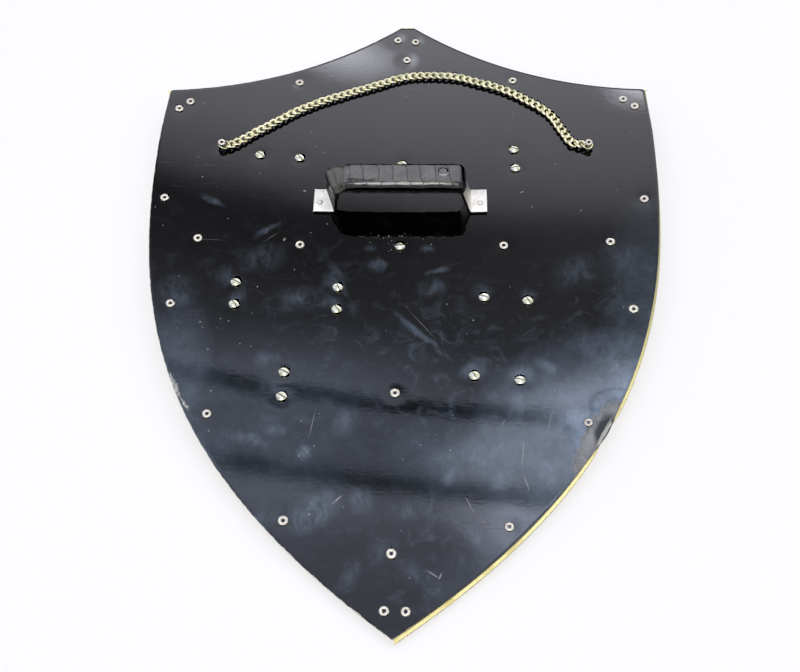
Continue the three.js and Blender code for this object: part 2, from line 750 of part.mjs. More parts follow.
function strapSections(line, width, thickness) {
  return line.map((point) =>
    [[-1, -1], [1, -1], [1, 1], [-1, 1]].map(([side, face]) =>
      gripPoint(point, (face * thickness) / 2, (side * width) / 2),
    ),
  );
}
const strap = solidOf(loft(strapSections(gripLine, strapWidth, strapThickness)));
addNode("grip_strap", cutWith(strap, footDrills), bareSteel());

// Small solid rivets hold the feet of the strap
for (const { name, x, y } of footRivets) {
  const top = 2 * seatGap + strapThickness;
  const front = -plateThickness - seatGap;
  const geometry = turned(
    [
      [0, front - footRivetHeadHeight],
      [footRivetHeadRadius, front],
      [footRivetRadius, front],
      [footRivetRadius, top],
      [footRivetHeadRadius, top],
      [footRivetHeadRadius * footRivetCrownShare, top + footRivetHeadHeight],
      [0, top + footRivetHeadHeight],
    ],
    screwSides,
  );
  geometry.applyMatrix4(backFrame(x, y));
  addNode(name, solidOf(geometry), bareSteel());
}

// The wrap: a tape wound round the strap in overlapping turns, thick and rounded over the hand's width and
// thinner at its ends. Each turn laps over the one before, so the wrap is one sleeve with a step at each lap.
function lineAt(distance) {
  let left = distance;
  for (let i = 1; i < gripLine.length; i += 1) {
    const [before, after] = [gripLine[i - 1], gripLine[i]];
    const length = Math.hypot(after.x - before.x, after.z - before.z);
    if (left <= length) {
      const share = left / length;
      const mix = (a, b) => THREE.MathUtils.lerp(a, b, share);
      return {
        x: mix(before.x, after.x),
        z: mix(before.z, after.z),
        skew: mix(before.skew, after.skew),
        tangent: before.tangent.clone().lerp(after.tangent, share).normalize(),
        mitre: 1,
      };
    }
    left -= length;
  }
  return gripLine.at(-1);
}

function distanceTo(index) {
  let sum = 0;
  for (let i = 1; i <= index; i += 1) {
    sum += Math.hypot(gripLine[i].x - gripLine[i - 1].x, gripLine[i].z - gripLine[i - 1].z);
  }
  return sum;
}
const pointsPerCorner = 3;
const wrapStart = distanceTo(pointsPerCorner * 2) - wrapLeftDrop;
const wrapEnd = distanceTo(pointsPerCorner * 4) + wrapRightDrop;
const thickFrom = distanceTo(pointsPerCorner * 3);
const thickTo = distanceTo(pointsPerCorner * 4);

// Pushes a rounded section out towards a box, the more the smaller the power
const squared = (value, power) => Math.sign(value) * Math.abs(value) ** power;

function makeWrap() {
  const sections = [];
  for (let i = 0; i <= wrapStations; i += 1) {
    const distance = THREE.MathUtils.lerp(wrapStart, wrapEnd, i / wrapStations);
    const point = lineAt(distance);
    const thick =
      THREE.MathUtils.smoothstep(distance, thickFrom - wrapFade, thickFrom + wrapFade) *
      (1 - THREE.MathUtils.smoothstep(distance, thickTo - wrapFade, thickTo + wrapFade));
    const depth = THREE.MathUtils.lerp(wrapLegDepth, wrapDepth, thick);
    const turns = ((distance - wrapStart) / (wrapEnd - wrapStart)) * wrapTurns;
    const section = [];
    for (let j = 0; j < wrapSides; j += 1) {
      const angle = (2 * Math.PI * j) / wrapSides;
      const lapPhase = (turns + j / wrapSides) % 1;
      const swell = wrapLap * (lapPhase - 0.5);
      const across = squared(Math.cos(angle), wrapSideShare) * (wrapWidth / 2 + swell);
      const out = squared(Math.sin(angle), wrapTopShare) * (depth / 2 + swell);
      section.push(gripPoint(point, out, across));
    }
    sections.push(section);
  }
  const sleeve = solidOf(loft(sections));
  const core = strapSections(gripLine, strapWidth + 2 * seatGap, strapThickness + 2 * seatGap);
  return sleeve.subtract(solidOf(loft(core)));
}
addNode("grip_wrap", makeWrap(), wrapTape());

// A chain link: a round wire bent into an oval and twisted about its long axis, so that the chain lies flat
function linkGeometry(halfLength, halfWidth, wire) {
  const centres = [];
  for (let i = 0; i < linkSteps; i += 1) {
    const angle = (2 * Math.PI * (i + 0.5)) / linkSteps;
    const x = halfLength * Math.cos(angle);
    const flatY = halfWidth * Math.sin(angle);
    const lean = linkTwist * (x / halfLength);
    centres.push(new THREE.Vector3(x, flatY * Math.cos(lean), flatY * Math.sin(lean)));
  }
  const sections = centres.map((centre, i) => {
    const before = centres.at(i - 1);
    const after = centres[(i + 1) % linkSteps];
    const tangent = after.clone().sub(before).normalize();
    const outward = centre.clone().addScaledVector(tangent, -centre.dot(tangent)).normalize();
    const side = tangent.clone().cross(outward);
    const section = [];
    for (let j = 0; j < linkSides; j += 1) {
      const angle = (2 * Math.PI * j) / linkSides;
      section.push(
        centre
          .clone()
          .addScaledVector(outward, wire * Math.cos(angle))
          .addScaledVector(side, wire * Math.sin(angle)),
      );
    }
    return section;
  });
  return loft(sections, true);
}

// The chain's route over the back, as the photographed one lies: up from the left rivet, over and down
const chainRoute = new THREE.CatmullRomCurve3(
  chainPathShares.map(
    ([u, v]) => new THREE.Vector3((2 * u - 1) * chainHalfSpan, chainY + v * chainRise, 0),
  ),
  false,
  "centripetal",
);
const linkRest = linkHalfWidth * Math.sin(linkTwist / 2) + wireRadius + seatGap;

function chainFrame(distance, length) {
  const point = chainRoute.getPointAt(THREE.MathUtils.clamp(distance / length, 0, 1));
  const tangent = chainRoute.getTangentAt(THREE.MathUtils.clamp(distance / length, 0, 1));
  const toEnd = Math.min(distance, length - distance);
  const lift = linkRest + chainEndLift * (1 - THREE.MathUtils.smoothstep(toEnd, 0, chainLiftReach));
  return backFrame(point.x, point.y, tangent.x, tangent.y, lift);
}

function placedLink(sizes, distance, length) {
  const geometry = linkGeometry(...sizes);
  geometry.applyMatrix4(chainFrame(distance, length));
  return solidOf(geometry);
}

// Each end link hangs on the neck of its rivet. The links between them bear on each other, as one piece.
function makeChain() {
  const length = chainRoute.getLength();
  const firstAt = endLinkHalfLength - endWireRadius - chainNeckRadius - endLinkSlack;
  const runStart = firstAt + endLinkPitch;
  const runLength = length - 2 * runStart;
  const count = Math.round(runLength / linkPitch);
  const linkSizes = [linkHalfLength, linkHalfWidth, wireRadius];
  const endSizes = [endLinkHalfLength, endLinkHalfWidth, endWireRadius];
  let run = placedLink(linkSizes, runStart, length);
  for (let i = 1; i <= count; i += 1) {
    run = run.add(placedLink(linkSizes, runStart + (i * runLength) / count, length));
  }
  addNode("chain_run", run, chainMetal());
  addNode("chain_end_link_left", placedLink(endSizes, firstAt, length), chainMetal());
  addNode("chain_end_link_right", placedLink(endSizes, length - firstAt, length), chainMetal());
}
makeChain();

export default group;
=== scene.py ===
import math
import random
from functools import reduce

import bmesh
import bpy
from mathutils import Matrix, Vector, noise


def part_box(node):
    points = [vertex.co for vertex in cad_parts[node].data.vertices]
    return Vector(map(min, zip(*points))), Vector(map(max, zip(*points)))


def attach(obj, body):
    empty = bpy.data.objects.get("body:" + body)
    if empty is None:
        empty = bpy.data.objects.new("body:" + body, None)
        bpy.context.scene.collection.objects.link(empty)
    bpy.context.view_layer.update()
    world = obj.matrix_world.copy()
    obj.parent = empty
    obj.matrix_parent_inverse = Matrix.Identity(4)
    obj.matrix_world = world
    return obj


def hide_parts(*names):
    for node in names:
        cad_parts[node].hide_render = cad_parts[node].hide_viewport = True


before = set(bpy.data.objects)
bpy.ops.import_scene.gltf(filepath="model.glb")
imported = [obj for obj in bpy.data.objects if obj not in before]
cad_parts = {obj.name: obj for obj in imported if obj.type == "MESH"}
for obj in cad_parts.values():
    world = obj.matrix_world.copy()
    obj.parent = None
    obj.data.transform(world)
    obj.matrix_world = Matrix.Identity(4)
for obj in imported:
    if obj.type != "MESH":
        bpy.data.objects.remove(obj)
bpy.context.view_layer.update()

MM = 0.001

# Sizes of the plate, as the solid has them
HALF_WIDTH = 228.5
HALF_HEIGHT = 300.6
PLATE_THICKNESS = 1.5
BEND_RADIUS = 1900
SHOULDER_INSET = 2
SHOULDER_DROP = 95.1
SHOULDER_ROUND = 4
WIDEST_DROP = 144.6
SIDE_PULL_DOWN = 207
POINT_PULL_OUT = 226
POINT_ANGLE = math.radians(34.2)
TOP_ARC_RADIUS = 456
TOP_ARCS_MEET_ABOVE = 5.5
SEAT_GAP = 0.3

# Sizes of what is on the front
STRIP_WIDTH = 27
STRIP_THICKNESS = 1
STRIP_PROUD = 0.8
LEFT_STRIP_PROUD = -0.9
PEAK_PROUD = 2.4
RIGHT_STRIP_SHIFT = Vector((0.9, -2.2, 0))
BADGE_THICKNESS = 3.5

# Worked-out heights and places
PLATE_FRONT = BADGE_THICKNESS + STRIP_THICKNESS + 2 * SEAT_GAP
PLATE_BACK = PLATE_FRONT + PLATE_THICKNESS
SHOULDER_X = HALF_WIDTH - SHOULDER_INSET
SHOULDER_Y = HALF_HEIGHT - SHOULDER_DROP
WIDEST_Y = HALF_HEIGHT - WIDEST_DROP

# Sizes of the fasteners
RIVET_RADIUS = 2.4
RING_RADIUS = 4.2
RING_HEIGHT = 1.8
RING_BORE = 1.35
RING_SHARES = {
    "rivet_side_right_4": 0.8, "rivet_side_right_5": 0.87, "rivet_side_right_6": 0.88, "rivet_side_left_4": 0.9,
    "rivet_side_left_6": 0.91, "rivet_side_left_3": 0.92, "rivet_chain_right": 0.86, "rivet_chain_left": 0.9,
}
DOME_RADIUS = 4.6
DOME_HEIGHT = 1.9
CHAIN_NECK_RADIUS = 1.3
CHAIN_NECK_HEIGHT = 7.2
SCREW_RADIUS = 2
SCREW_HEAD_RADIUS = 4.9
SCREW_HEAD_HEIGHT = 2.6
SLOT_WIDTH = 0.8
SLOT_DEPTH = 1.1
FASTENER_SIDES = 40

# The camera of the photograph: its place in metres, its turn and its lens
CAMERA_PLACE = (0.02647, -0.42606, 0.6932)
CAMERA_TURN_DEGREES = (28.42, 1.5, 1.286)
CAMERA_LENS = 42.07
CAMERA_SENSOR = 36


# Meshes

def rise(x):
    return x * x / (2 * BEND_RADIUS)


def back_frame(x, y, along=(1, 0), lift=0):
    """The frame of a place on the back, with Z along the sheet's normal there."""
    normal = Vector((-x / BEND_RADIUS, 0, 1)).normalized()
    forward = Vector((along[0], along[1], 0))
    forward = (forward - normal * forward.dot(normal)).normalized()
    place = Vector((x, y, PLATE_BACK + rise(x))) + normal * lift
    return Matrix.Translation(place) @ Matrix((forward, normal.cross(forward), normal)).transposed().to_4x4()


def loft(sections, endless=False):
    """Vertices and faces through a row of sections, capped or joined end to end."""
    sides = len(sections[0])
    count = len(sections)
    faces = []
    for i in range(count if endless else count - 1):
        near = i * sides
        far = (i + 1) % count * sides
        for j in range(sides):
            k = (j + 1) % sides
            faces.append((near + j, near + k, far + k, far + j))
    if not endless:
        faces.append(tuple(reversed(range(sides))))
        faces.append(tuple(range((count - 1) * sides, count * sides)))
    return [point for section in sections for point in section], faces


def around(sides, shift=0.0):
    """The angles of evenly spaced places round a full turn."""
    return [2 * math.pi * (i + shift) / sides for i in range(sides)]


def quarter(steps):
    """The angles from none to a quarter turn."""
    return [math.pi / 2 * i / steps for i in range(steps + 1)]


def turned(profile, sides=FASTENER_SIDES, wobble=0.0, seed=0.0):
    """A turned piece about Z from (radius, height) pairs that start and end on the axis."""
    verts = [Vector((0, 0, profile[0][1]))]
    rings = profile[1:-1]
    for i, (radius, height) in enumerate(rings):
        for angle in around(sides):
            spot = Vector((math.cos(angle) * 1.3 + seed, math.sin(angle) * 1.3, i * 0.15))
            r = radius * (1 + wobble * noise.noise(spot))
            verts.append(Vector((r * math.cos(angle), r * math.sin(angle), height)))
    verts.append(Vector((0, 0, profile[-1][1])))
    faces = []
    for j in range(sides):
        k = (j + 1) % sides
        faces.append((0, 1 + k, 1 + j))
        for i in range(len(rings) - 1):
            near, far = 1 + i * sides, 1 + (i + 1) * sides
            faces.append((near + j, near + k, far + k, far + j))
        top = 1 + (len(rings) - 1) * sides
        faces.append((top + j, top + k, len(verts) - 1))
    return verts, faces


def joined(shapes):
    """Several (vertices, faces) pairs as one."""
    verts, faces = [], []
    for shape_verts, shape_faces in shapes:
        start = len(verts)
        verts += shape_verts
        faces += [tuple(start + i for i in face) for face in shape_faces]
    return verts, faces


def placed(shape, matrix):
    verts, faces = shape
    return [matrix @ v for v in verts], faces


SQUARE = ((-1, -1), (1, -1), (1, 1), (-1, 1))


def new_mesh(name, shape):
    """A mesh of a (vertices, faces) pair whose faces all look outward."""
    mesh = bpy.data.meshes.new(name)
    mesh.from_pydata(shape[0], [], shape[1])
    faces = bmesh.new()
    faces.from_mesh(mesh)
    bmesh.ops.recalc_face_normals(faces, faces=faces.faces)
    faces.to_mesh(mesh)
    faces.free()
    return mesh


def new_object(name, data):
    obj = bpy.data.objects.new(name, data)
    bpy.context.scene.collection.objects.link(obj)
    return obj


def final_shape(obj):
    """The (vertices, faces) pair of an object as its modifiers or its curve's settings make it."""
    bpy.context.view_layer.update()
    mesh = bpy.data.meshes.new_from_object(obj.evaluated_get(bpy.context.evaluated_depsgraph_get()))
    shape = ([v.co.copy() for v in mesh.vertices], [tuple(p.vertices) for p in mesh.polygons])
    bpy.data.meshes.remove(mesh)
    return shape


def piece(name, shape, material, body="shield", replaces=(), sharp=35):
    """A shown piece that rides on a body, from vertices in millimetres."""
    verts, faces = shape
    mesh = new_mesh(name, ([v * MM for v in verts], faces))
    mesh.shade_smooth()
    mesh.set_sharp_from_angle(angle=math.radians(sharp))
    mesh.materials.append(material)
    obj = new_object(name, mesh)
    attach(obj, body)
    if replaces:
        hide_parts(*replaces)
    return obj


def with_second_material(obj, material, faces):
    """A second material on some of a piece's faces."""
    obj.data.materials.append(material)
    for i in faces:
        obj.data.polygons[i].material_index = 1


def place_of(node):
    """The middle of a node's box, in millimetres."""
    low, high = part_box(node)
    return (low + high) / (2 * MM)


# Materials

def fill(item, inputs):
    """Each input of a node set to a value or linked to a socket."""
    for key, value in inputs.items():
        if isinstance(value, bpy.types.NodeSocket):
            item.id_data.links.new(value, item.inputs[key])
        else:
            item.inputs[key].default_value = value


def add(tree, kind, inputs=None, **settings):
    """A node with its settings and its inputs."""
    item = tree.nodes.new(kind)
    for key, value in settings.items():
        setattr(item, key, value)
    fill(item, inputs or {})
    return item


def tree_of(*values):
    """The node tree of the first socket among some values."""
    return next(value.id_data for value in values if isinstance(value, bpy.types.NodeSocket))


def maths(operation, a, b=0.0, clamp=False):
    return add(tree_of(a, b), "ShaderNodeMath", {0: a, 1: b}, operation=operation, use_clamp=clamp).outputs[0]


def times(a, b, clamp=False):
    return maths("MULTIPLY", a, b, clamp)


def plus(a, b, clamp=False):
    return maths("ADD", a, b, clamp)


def most(a, b):
    return maths("MAXIMUM", a, b)


def parts(vector):
    """The three coordinates of a vector."""
    return add(vector.id_data, "ShaderNodeSeparateXYZ", {0: vector}).outputs


def facing(coords):
    """The three parts of the surface's normal."""
    return parts(add(coords.id_data, "ShaderNodeNewGeometry").outputs["Normal"])


def attribute(coords, name):
    return add(coords.id_data, "ShaderNodeAttribute", attribute_name=name).outputs["Fac"]


def step(value, low, high, to_low=0.0, to_high=1.0):
    """A smooth step of a value from low to high."""
    inputs = {"Value": value, "From Min": low, "From Max": high, "To Min": to_low, "To Max": to_high}
    return add(value.id_data, "ShaderNodeMapRange", inputs, interpolation_type="SMOOTHSTEP").outputs[0]


def mixed(share, a, b):
    return add(share.id_data, "ShaderNodeMix", {0: share, 6: a, 7: b}, data_type="RGBA").outputs[2]


def texture(coords, scale, detail=4.0, roughness=0.55, distortion=0.0):
    inputs = {
        "Vector": coords, "Scale": scale, "Detail": detail, "Roughness": roughness, "Distortion": distortion,
    }
    return add(coords.id_data, "ShaderNodeTexNoise", inputs).outputs["Fac"]


def moved(coords, scale, turn=0.0):
    inputs = {"Vector": coords, "Rotation": (0, 0, math.radians(turn)), "Scale": scale}
    return add(coords.id_data, "ShaderNodeMapping", inputs).outputs[0]


def bumped(height, distance, normal=None):
    inputs = {"Height": height, "Distance": distance, "Strength": 1.0}
    if normal is not None:
        inputs["Normal"] = normal
    return add(height.id_data, "ShaderNodeBump", inputs).outputs[0]


def new_material(name, slot):
    """A material and its object coordinates, in metres."""
    material = bpy.data.materials.new(name)
    material.use_nodes = True
    material["slot"] = slot
    return material, add(material.node_tree, "ShaderNodeTexCoord").outputs["Object"]


def surfaced(material, colour, roughness, normal, metallic=1.0):
    inputs = {"Base Color": colour, "Roughness": roughness, "Normal": normal, "Metallic": metallic}
    fill(material.node_tree.nodes["Principled BSDF"], inputs)
    return material


def scratches(coords, turn, scale, low, high):
    """Thin straight marks along one direction, where a stretched noise peaks."""
    marks = step(texture(moved(coords, (1.2, 60, 1), turn), scale, 3, 0.6, 0.12), low, high)
    return times(marks, step(texture(coords, 9 + turn / 20, 2), 0.5, 0.62))


def warped(coords, scale, reach):
    """The coordinates pushed about by a noise, so that what is laid over them gets uneven outlines."""
    tree = coords.id_data
    push = add(tree, "ShaderNodeTexNoise", {"Vector": coords, "Scale": scale, "Detail": 4.0}).outputs["Color"]
    for operation, inputs in (
        ("SUBTRACT", {1: (0.5, 0.5, 0.5)}), ("SCALE", {"Scale": reach}), ("ADD", {1: coords}),
    ):
        push = add(tree, "ShaderNodeVectorMath", {0: push, **inputs}, operation=operation).outputs[0]
    return push


def soft_spot(coords, x, y, half_x, half_y, turn=0.0):
    """A fall from 1 to 0 round a place, stretched to its half sizes and turned."""
    inputs = {
        "Vector": coords, "Location": (x, y, 0), "Rotation": (0, 0, math.radians(turn)), "Scale": (half_x, half_y, 1),
    }
    local = add(coords.id_data, "ShaderNodeMapping", inputs, vector_type="TEXTURE").outputs[0]
    return add(coords.id_data, "ShaderNodeTexGradient", {"Vector": local}, gradient_type="SPHERICAL").outputs["Fac"]


def strokes(coords, marks, joining=most):
    """Several long soft spots as one, each (x, y, length, width, turn, strength) in millimetres."""
    return reduce(joining, [
        times(soft_spot(coords, x * MM, y * MM, length / 2 * MM, width / 2 * MM, turn), strength)
        for x, y, length, width, turn, strength in marks
    ])


def dots(coords, scale, size, limit):
    """Round specks, one in each cell that a random number picks out."""
    cells = add(coords.id_data, "ShaderNodeTexVoronoi", {"Vector": coords, "Scale": scale})
    pick, share, _ = add(coords.id_data, "ShaderNodeSeparateColor", {0: cells.outputs["Color"]}).outputs
    near = maths("LESS_THAN", cells.outputs["Distance"], times(plus(share, 0.35), size))
    return times(near, maths("GREATER_THAN", pick, limit))


# Marks on the paint as (x, y, length, width, turn, strength): greasy smears, thin scratches, dusty places
SMEARS = (
    (-64, -208, 62, 34, 38, 1.0), (-27, -198, 30, 26, 60, 0.7), (-116, -150, 44, 16, -20, 0.7),
    (-97, -142, 24, 15, 10, 0.8), (-72, -160, 17, 15, 70, 1.0), (120, -84, 28, 14, -35, 1.0),
    (42, -177, 26, 22, 20, 0.7), (80, -181, 30, 22, 60, 0.9), (114, -172, 46, 18, -62, 0.9),
    (-42, -132, 40, 26, 75, 0.6), (11, -205, 46, 24, 15, 0.5), (-32, -255, 40, 24, 60, 0.6),
    (18, -54, 90, 9, -42, 0.9), (-54, 2, 52, 16, -64, 0.7), (31, 10, 30, 10, 12, 0.8),
    (-120, 50, 40, 9, 40, 0.8), (-172, 78, 34, 9, -25, 0.8), (-122, 20, 60, 40, 20, 0.5),
    (-190, -20, 50, 46, 60, 0.6), (150, 5, 70, 50, 30, 0.45), (190, 20, 40, 60, 70, 0.4),
    (-85, -20, 50, 34, 5, 0.6), (-20, 15, 22, 18, 0, 0.9), (28, -8, 34, 26, 0, 0.6),
    (95, -120, 60, 22, 80, 0.6), (60, -225, 50, 24, -40, 0.55), (20, -255, 60, 24, -30, 0.5),
    (-100, -215, 40, 24, 30, 0.5), (-10, -235, 34, 30, 10, 0.5), (150, -60, 60, 34, -60, 0.45),
    (-28, 33, 14, 12, 0, 0.8), (22, 32, 18, 12, 0, 0.7), (-150, 0, 26, 26, 0, 0.6), (-140, -20, 30, 16, 60, 0.6),
    (-56, 0, 30, 26, 20, 0.7), (-60, -22, 24, 20, 0, 0.6), (70, -12, 26, 20, 0, 0.5), (108, -16, 24, 20, 0, 0.5),
    (62, -86, 34, 26, 20, 0.9), (100, -90, 30, 24, -20, 0.8), (-110, -78, 30, 22, 0, 0.7),
    (-105, -104, 26, 20, 0, 0.6),
)
THIN_MARKS = (
    (98, -160, 28, 1.1, 84, 1.0), (99.5, -182, 20, 1.1, -74, 1.0), (56.5, -201, 20, 0.9, -62, 0.7),
    (66, -213, 15, 0.9, -38, 0.7), (29, -253.5, 12, 1.1, -32, 1.0), (34, -255, 7, 1.3, 70, 0.8),
    (120, -134, 38, 1.6, 74, 0.4), (18, -43, 62, 0.7, -50, 0.4), (-68, -136, 38, 0.9, 82, 0.5),
    (-45, -198, 15, 2.2, 42, 0.7), (84, -133, 10, 0.8, 60, 0.6), (45, 16, 40, 0.5, 12, 0.25),
    (-116, 42, 30, 1.2, 42, 0.3), (70, 75, 8, 0.8, 80, 0.5), (107, 92, 5, 1.4, 20, 0.8),
    (-90, 94, 4, 2, 0, 0.9), (-74, 76, 7, 2, 30, 0.8), (-104, 40, 6, 3, 60, 0.6),
    (162, -141, 30, 2.6, 60, 1.6),
)
VEIL = (
    (150, -150, 210, 190, -5, 1.12), (62, -160, 80, 50, 0, 0.4), (165, -142, 110, 100, 30, 1.1),
    (190, -95, 90, 90, 0, 1.1),
    (214, -20, 100, 220, 0, 0.45), (-192, -95, 80, 170, -12, 0.6), (-100, -160, 250, 190, 20, 0.3),
    (85, -240, 150, 80, 40, 0.35), (-60, -80, 220, 90, 0, 0.12), (45, -165, 130, 100, 0, 0.45),
    (-165, -130, 80, 120, 20, 0.35),
)
DUSTY = (
    (-12, 42, 50, 26, 5, 1.3), (16, 40, 40, 24, -5, 1.2), (-150, -60, 90, 60, 60, 0.25),
    (-160, 120, 120, 60, 10, 0.15), (60, -150, 160, 70, -10, 0.15), (-150, -130, 60, 34, 50, 0.3),
    (170, -90, 70, 50, 60, 0.3), (-40, -150, 120, 60, 0, 0.15),
)
KNOCK = ((157, -149, 82, 27, 60, 1.0),)
# The knock's painted shade: a near-black wedge laid over the bared metal where the edge bends.
KNOCK_SHADE = ((163, -141, 42, 22, 61, 1.7),)
TORN_EDGE = ((161.5, -143.5, 29, 3.4, 58, 1.6),)
WORN_EDGE = ((-180.5, -106, 32, 4.5, 118, 0.9), (-171, -122, 20, 3.5, 122, 0.7))


def black_paint():
    """Gloss black over steel: fingerprints and wiped grease, dust, scratches, and a knocked, bared edge that painted
    shade darkens towards the rim.
    """
    material, coords = new_material("gloss_black_paint", "black_paint")
    x, y, _ = parts(coords)
    uneven = warped(coords, 55, 0.013)
    ragged = warped(coords, 160, 0.007)
    grease = texture(moved(uneven, (1, 0.45, 1), 35), 130, 6, 0.7, 0.6)
    wiped = texture(moved(uneven, (0.4, 1, 1), -38), 150, 5, 0.68, 0.4)
    prints = texture(uneven, 46, 5, 0.62, 1.2)
    cloud = texture(coords, 9, 3, 0.55, 0.5)
    smears = strokes(uneven, SMEARS)
    smears = times(step(smears, 0.0, 0.8), step(grease, 0.3, 0.68, 0.1, 1.0))
    lower = step(y, 0.07, -0.06, 0.1, 1.0)
    haze = times(step(prints, 0.49, 0.74), step(cloud, 0.36, 0.64, 0.25, 1.0))
    haze = plus(haze, times(step(wiped, 0.55, 0.78), 0.5))
    haze = times(haze, lower)
    veil = strokes(warped(coords, 14, 0.05), VEIL, plus)
    veil = times(veil, step(texture(uneven, 26, 7, 0.72), 0.3, 0.7, 0.55, 1.3))
    veil = times(veil, step(texture(moved(uneven, (1, 0.6, 1), 20), 330, 5, 0.75), 0.3, 0.7, 0.88, 1.12))
    film = plus(plus(times(smears, 0.72), times(haze, 0.32)), veil)

    dusty = strokes(uneven, DUSTY)
    limit = maths("SUBTRACT", 0.994, times(dusty, 0.26))
    specks = most(dots(coords, 430, 0.22, limit), dots(coords, 130, 0.07, limit))
    marks = reduce(most, [
        scratches(coords, turn, scale, low, low + 0.06)
        for turn, scale, low in ((58, 10, 0.7), (-47, 12, 0.71), (12, 9, 0.72))
    ])
    deep = step(strokes(warped(coords, 120, 0.0016), THIN_MARKS), 0.05, 0.5)
    grain = texture(coords, 600, 3, 0.7)
    deep = times(deep, step(grain, 0.3, 0.55, 0.3, 1.0))

    chips = plus(attribute(coords, "edge_distance"), times(texture(coords, 130, 4, 0.7), -0.0024))
    bare = times(step(chips, -0.0007, -0.001), step(x, 0.03, -0.01))
    worn = times(step(strokes(ragged, WORN_EDGE), 0.1, 0.45), step(grain, 0.36, 0.6, 0.25, 1.0))
    knock = step(strokes(ragged, KNOCK), 0.03, 0.16)
    # Painted shade: the bared knock turns near-black towards the bent edge.
    shade = step(strokes(uneven, KNOCK_SHADE), 0.1, 0.9)
    rim = times(knock, step(strokes(ragged, KNOCK), 0.4, 0.1))
    torn = step(strokes(warped(coords, 200, 0.0025), TORN_EDGE), 0.1, 0.5)

    black = (0.0006, 0.0006, 0.0007, 1)
    colour = mixed(times(film, 0.58, True), black, (0.162, 0.207, 0.262, 1))
    colour = mixed(times(marks, 0.3), colour, (0.12, 0.13, 0.14, 1))
    scuffed = mixed(step(grease, 0.3, 0.7), (0.13, 0.13, 0.13, 1), (0.26, 0.26, 0.25, 1))
    scuffed = mixed(shade, scuffed, (0.003, 0.003, 0.003, 1))
    freckles = times(rim, step(texture(coords, 900, 3, 0.7), 0.5, 0.58))
    scuffed = mixed(freckles, scuffed, (0.04, 0.045, 0.055, 1))
    colour = mixed(times(knock, 0.92), colour, scuffed)
    for mask, share, over in (
        (torn, 1, (0.42, 0.42, 0.39, 1)), (deep, 0.8, (0.34, 0.34, 0.3, 1)), (worn, 0.9, (0.5, 0.5, 0.46, 1)),
        (specks, 0.55, (0.42, 0.43, 0.42, 1)), (bare, 1, (0.55, 0.54, 0.5, 1)),
    ):
        colour = mixed(times(mask, share), colour, over)
    rough = plus(0.03, times(film, 0.025))
    for mask, share in ((specks, 0.4), (bare, 0.35), (knock, 0.42), (deep, 0.3), (worn, 0.4)):
        rough = plus(rough, times(mask, share))
    ripple = bumped(texture(moved(coords, (0.4, 1, 1)), 420, 3, 0.55), 0.000008)
    ripple = bumped(texture(coords, 45, 3, 0.5), 0.00001, normal=ripple)
    ripple = bumped(most(marks, deep), 0.00002, normal=ripple)
    return surfaced(material, colour, rough, ripple, bare)


def plated(name, slot, colour, stain, roughness, grain=0.00004, shade_painted_under=False):
    """Plated or bare metal: dull patches, stains in its low spots, a fine grain, and, where asked, painted shade on
    the faces that look down.
    """
    material, coords = new_material(name, slot)
    patches = texture(coords, 420, 4, 0.6, 0.5)
    spots = texture(coords, 1500, 3, 0.65)
    low = step(patches, 0.42, 0.68)
    tinted = mixed(low, colour, stain)
    dark = step(spots, 0.62, 0.74, 0.0, 0.45)
    tinted = mixed(dark, tinted, tuple(0.35 * c for c in stain[:3]) + (1,))
    if shade_painted_under:
        # Painted shade: faces that look down darken towards near-black.
        _, _, up = facing(coords)
        tinted = mixed(step(up, 0.1, -0.45, 0.0, 0.9), tinted, (0.02, 0.017, 0.01, 1))
    rough = plus(plus(roughness, times(low, 0.14)), times(dark, 0.2))
    return surfaced(material, tinted, rough, bumped(spots, grain))


def strap_steel():
    """Pale bare steel, painted near-black on the left leg's steep sides and along its cut edges as a painted dark
    reflection of the black plate.
    """
    material, coords = new_material("strap_steel", "bare_steel")
    x, _, _ = parts(coords)
    _, along, up = facing(coords)
    # Painted reflection: the left leg's steep faces and the cut edges are painted near-black, mirroring the black
    # plate.
    leg = times(step(maths("ABSOLUTE", up), 0.7, 0.4), step(x, 0.001, -0.001))
    black = most(leg, step(maths("ABSOLUTE", along), 0.6, 0.8))
    patches = texture(coords, 160, 5, 0.6, 0.5)
    lines = texture(moved(coords, (1, 12, 1)), 300, 3, 0.6)
    spots = step(texture(coords, 1100, 3, 0.6), 0.66, 0.78, 0.0, 0.35)
    colour = mixed(step(patches, 0.4, 0.7), (0.9, 0.88, 0.8, 1), (0.78, 0.76, 0.68, 1))
    colour = mixed(spots, colour, (0.3, 0.28, 0.24, 1))
    colour = mixed(black, colour, (0.025, 0.025, 0.023, 1))
    grain = bumped(patches, 0.00008, normal=bumped(lines, 0.00002))
    return surfaced(material, colour, plus(0.36, times(patches, 0.3)), grain)


def brass_sheet():
    """Rolled brass: long polishing lines, brown tarnish in clouds, and a darker olive tone towards the upper right.
    """
    material, coords = new_material("rolled_brass", "brass")
    lines = texture(moved(coords, (1, 40, 1), 20), 60, 4, 0.6)
    clouds = texture(coords, 22, 5, 0.6, 0.7)
    spots = texture(coords, 700, 3, 0.6)
    tarnish = plus(step(clouds, 0.48, 0.72), step(spots, 0.66, 0.76, 0.0, 0.5), clamp=True)
    colour = mixed(tarnish, (0.8, 0.69, 0.29, 1), (0.62, 0.52, 0.2, 1))
    x, y, _ = parts(coords)
    # Darker olive on the right strips' upper part.
    dull = times(step(x, 0.15, 0.19), step(y, -0.12, 0.02, 0.0, 0.8))
    colour = mixed(dull, colour, (0.4, 0.37, 0.18, 1))
    rough = plus(plus(0.2, times(tarnish, 0.22)), times(lines, 0.1))
    return surfaced(material, colour, rough, bumped(clouds, 0.0001, normal=bumped(lines, 0.00002)))
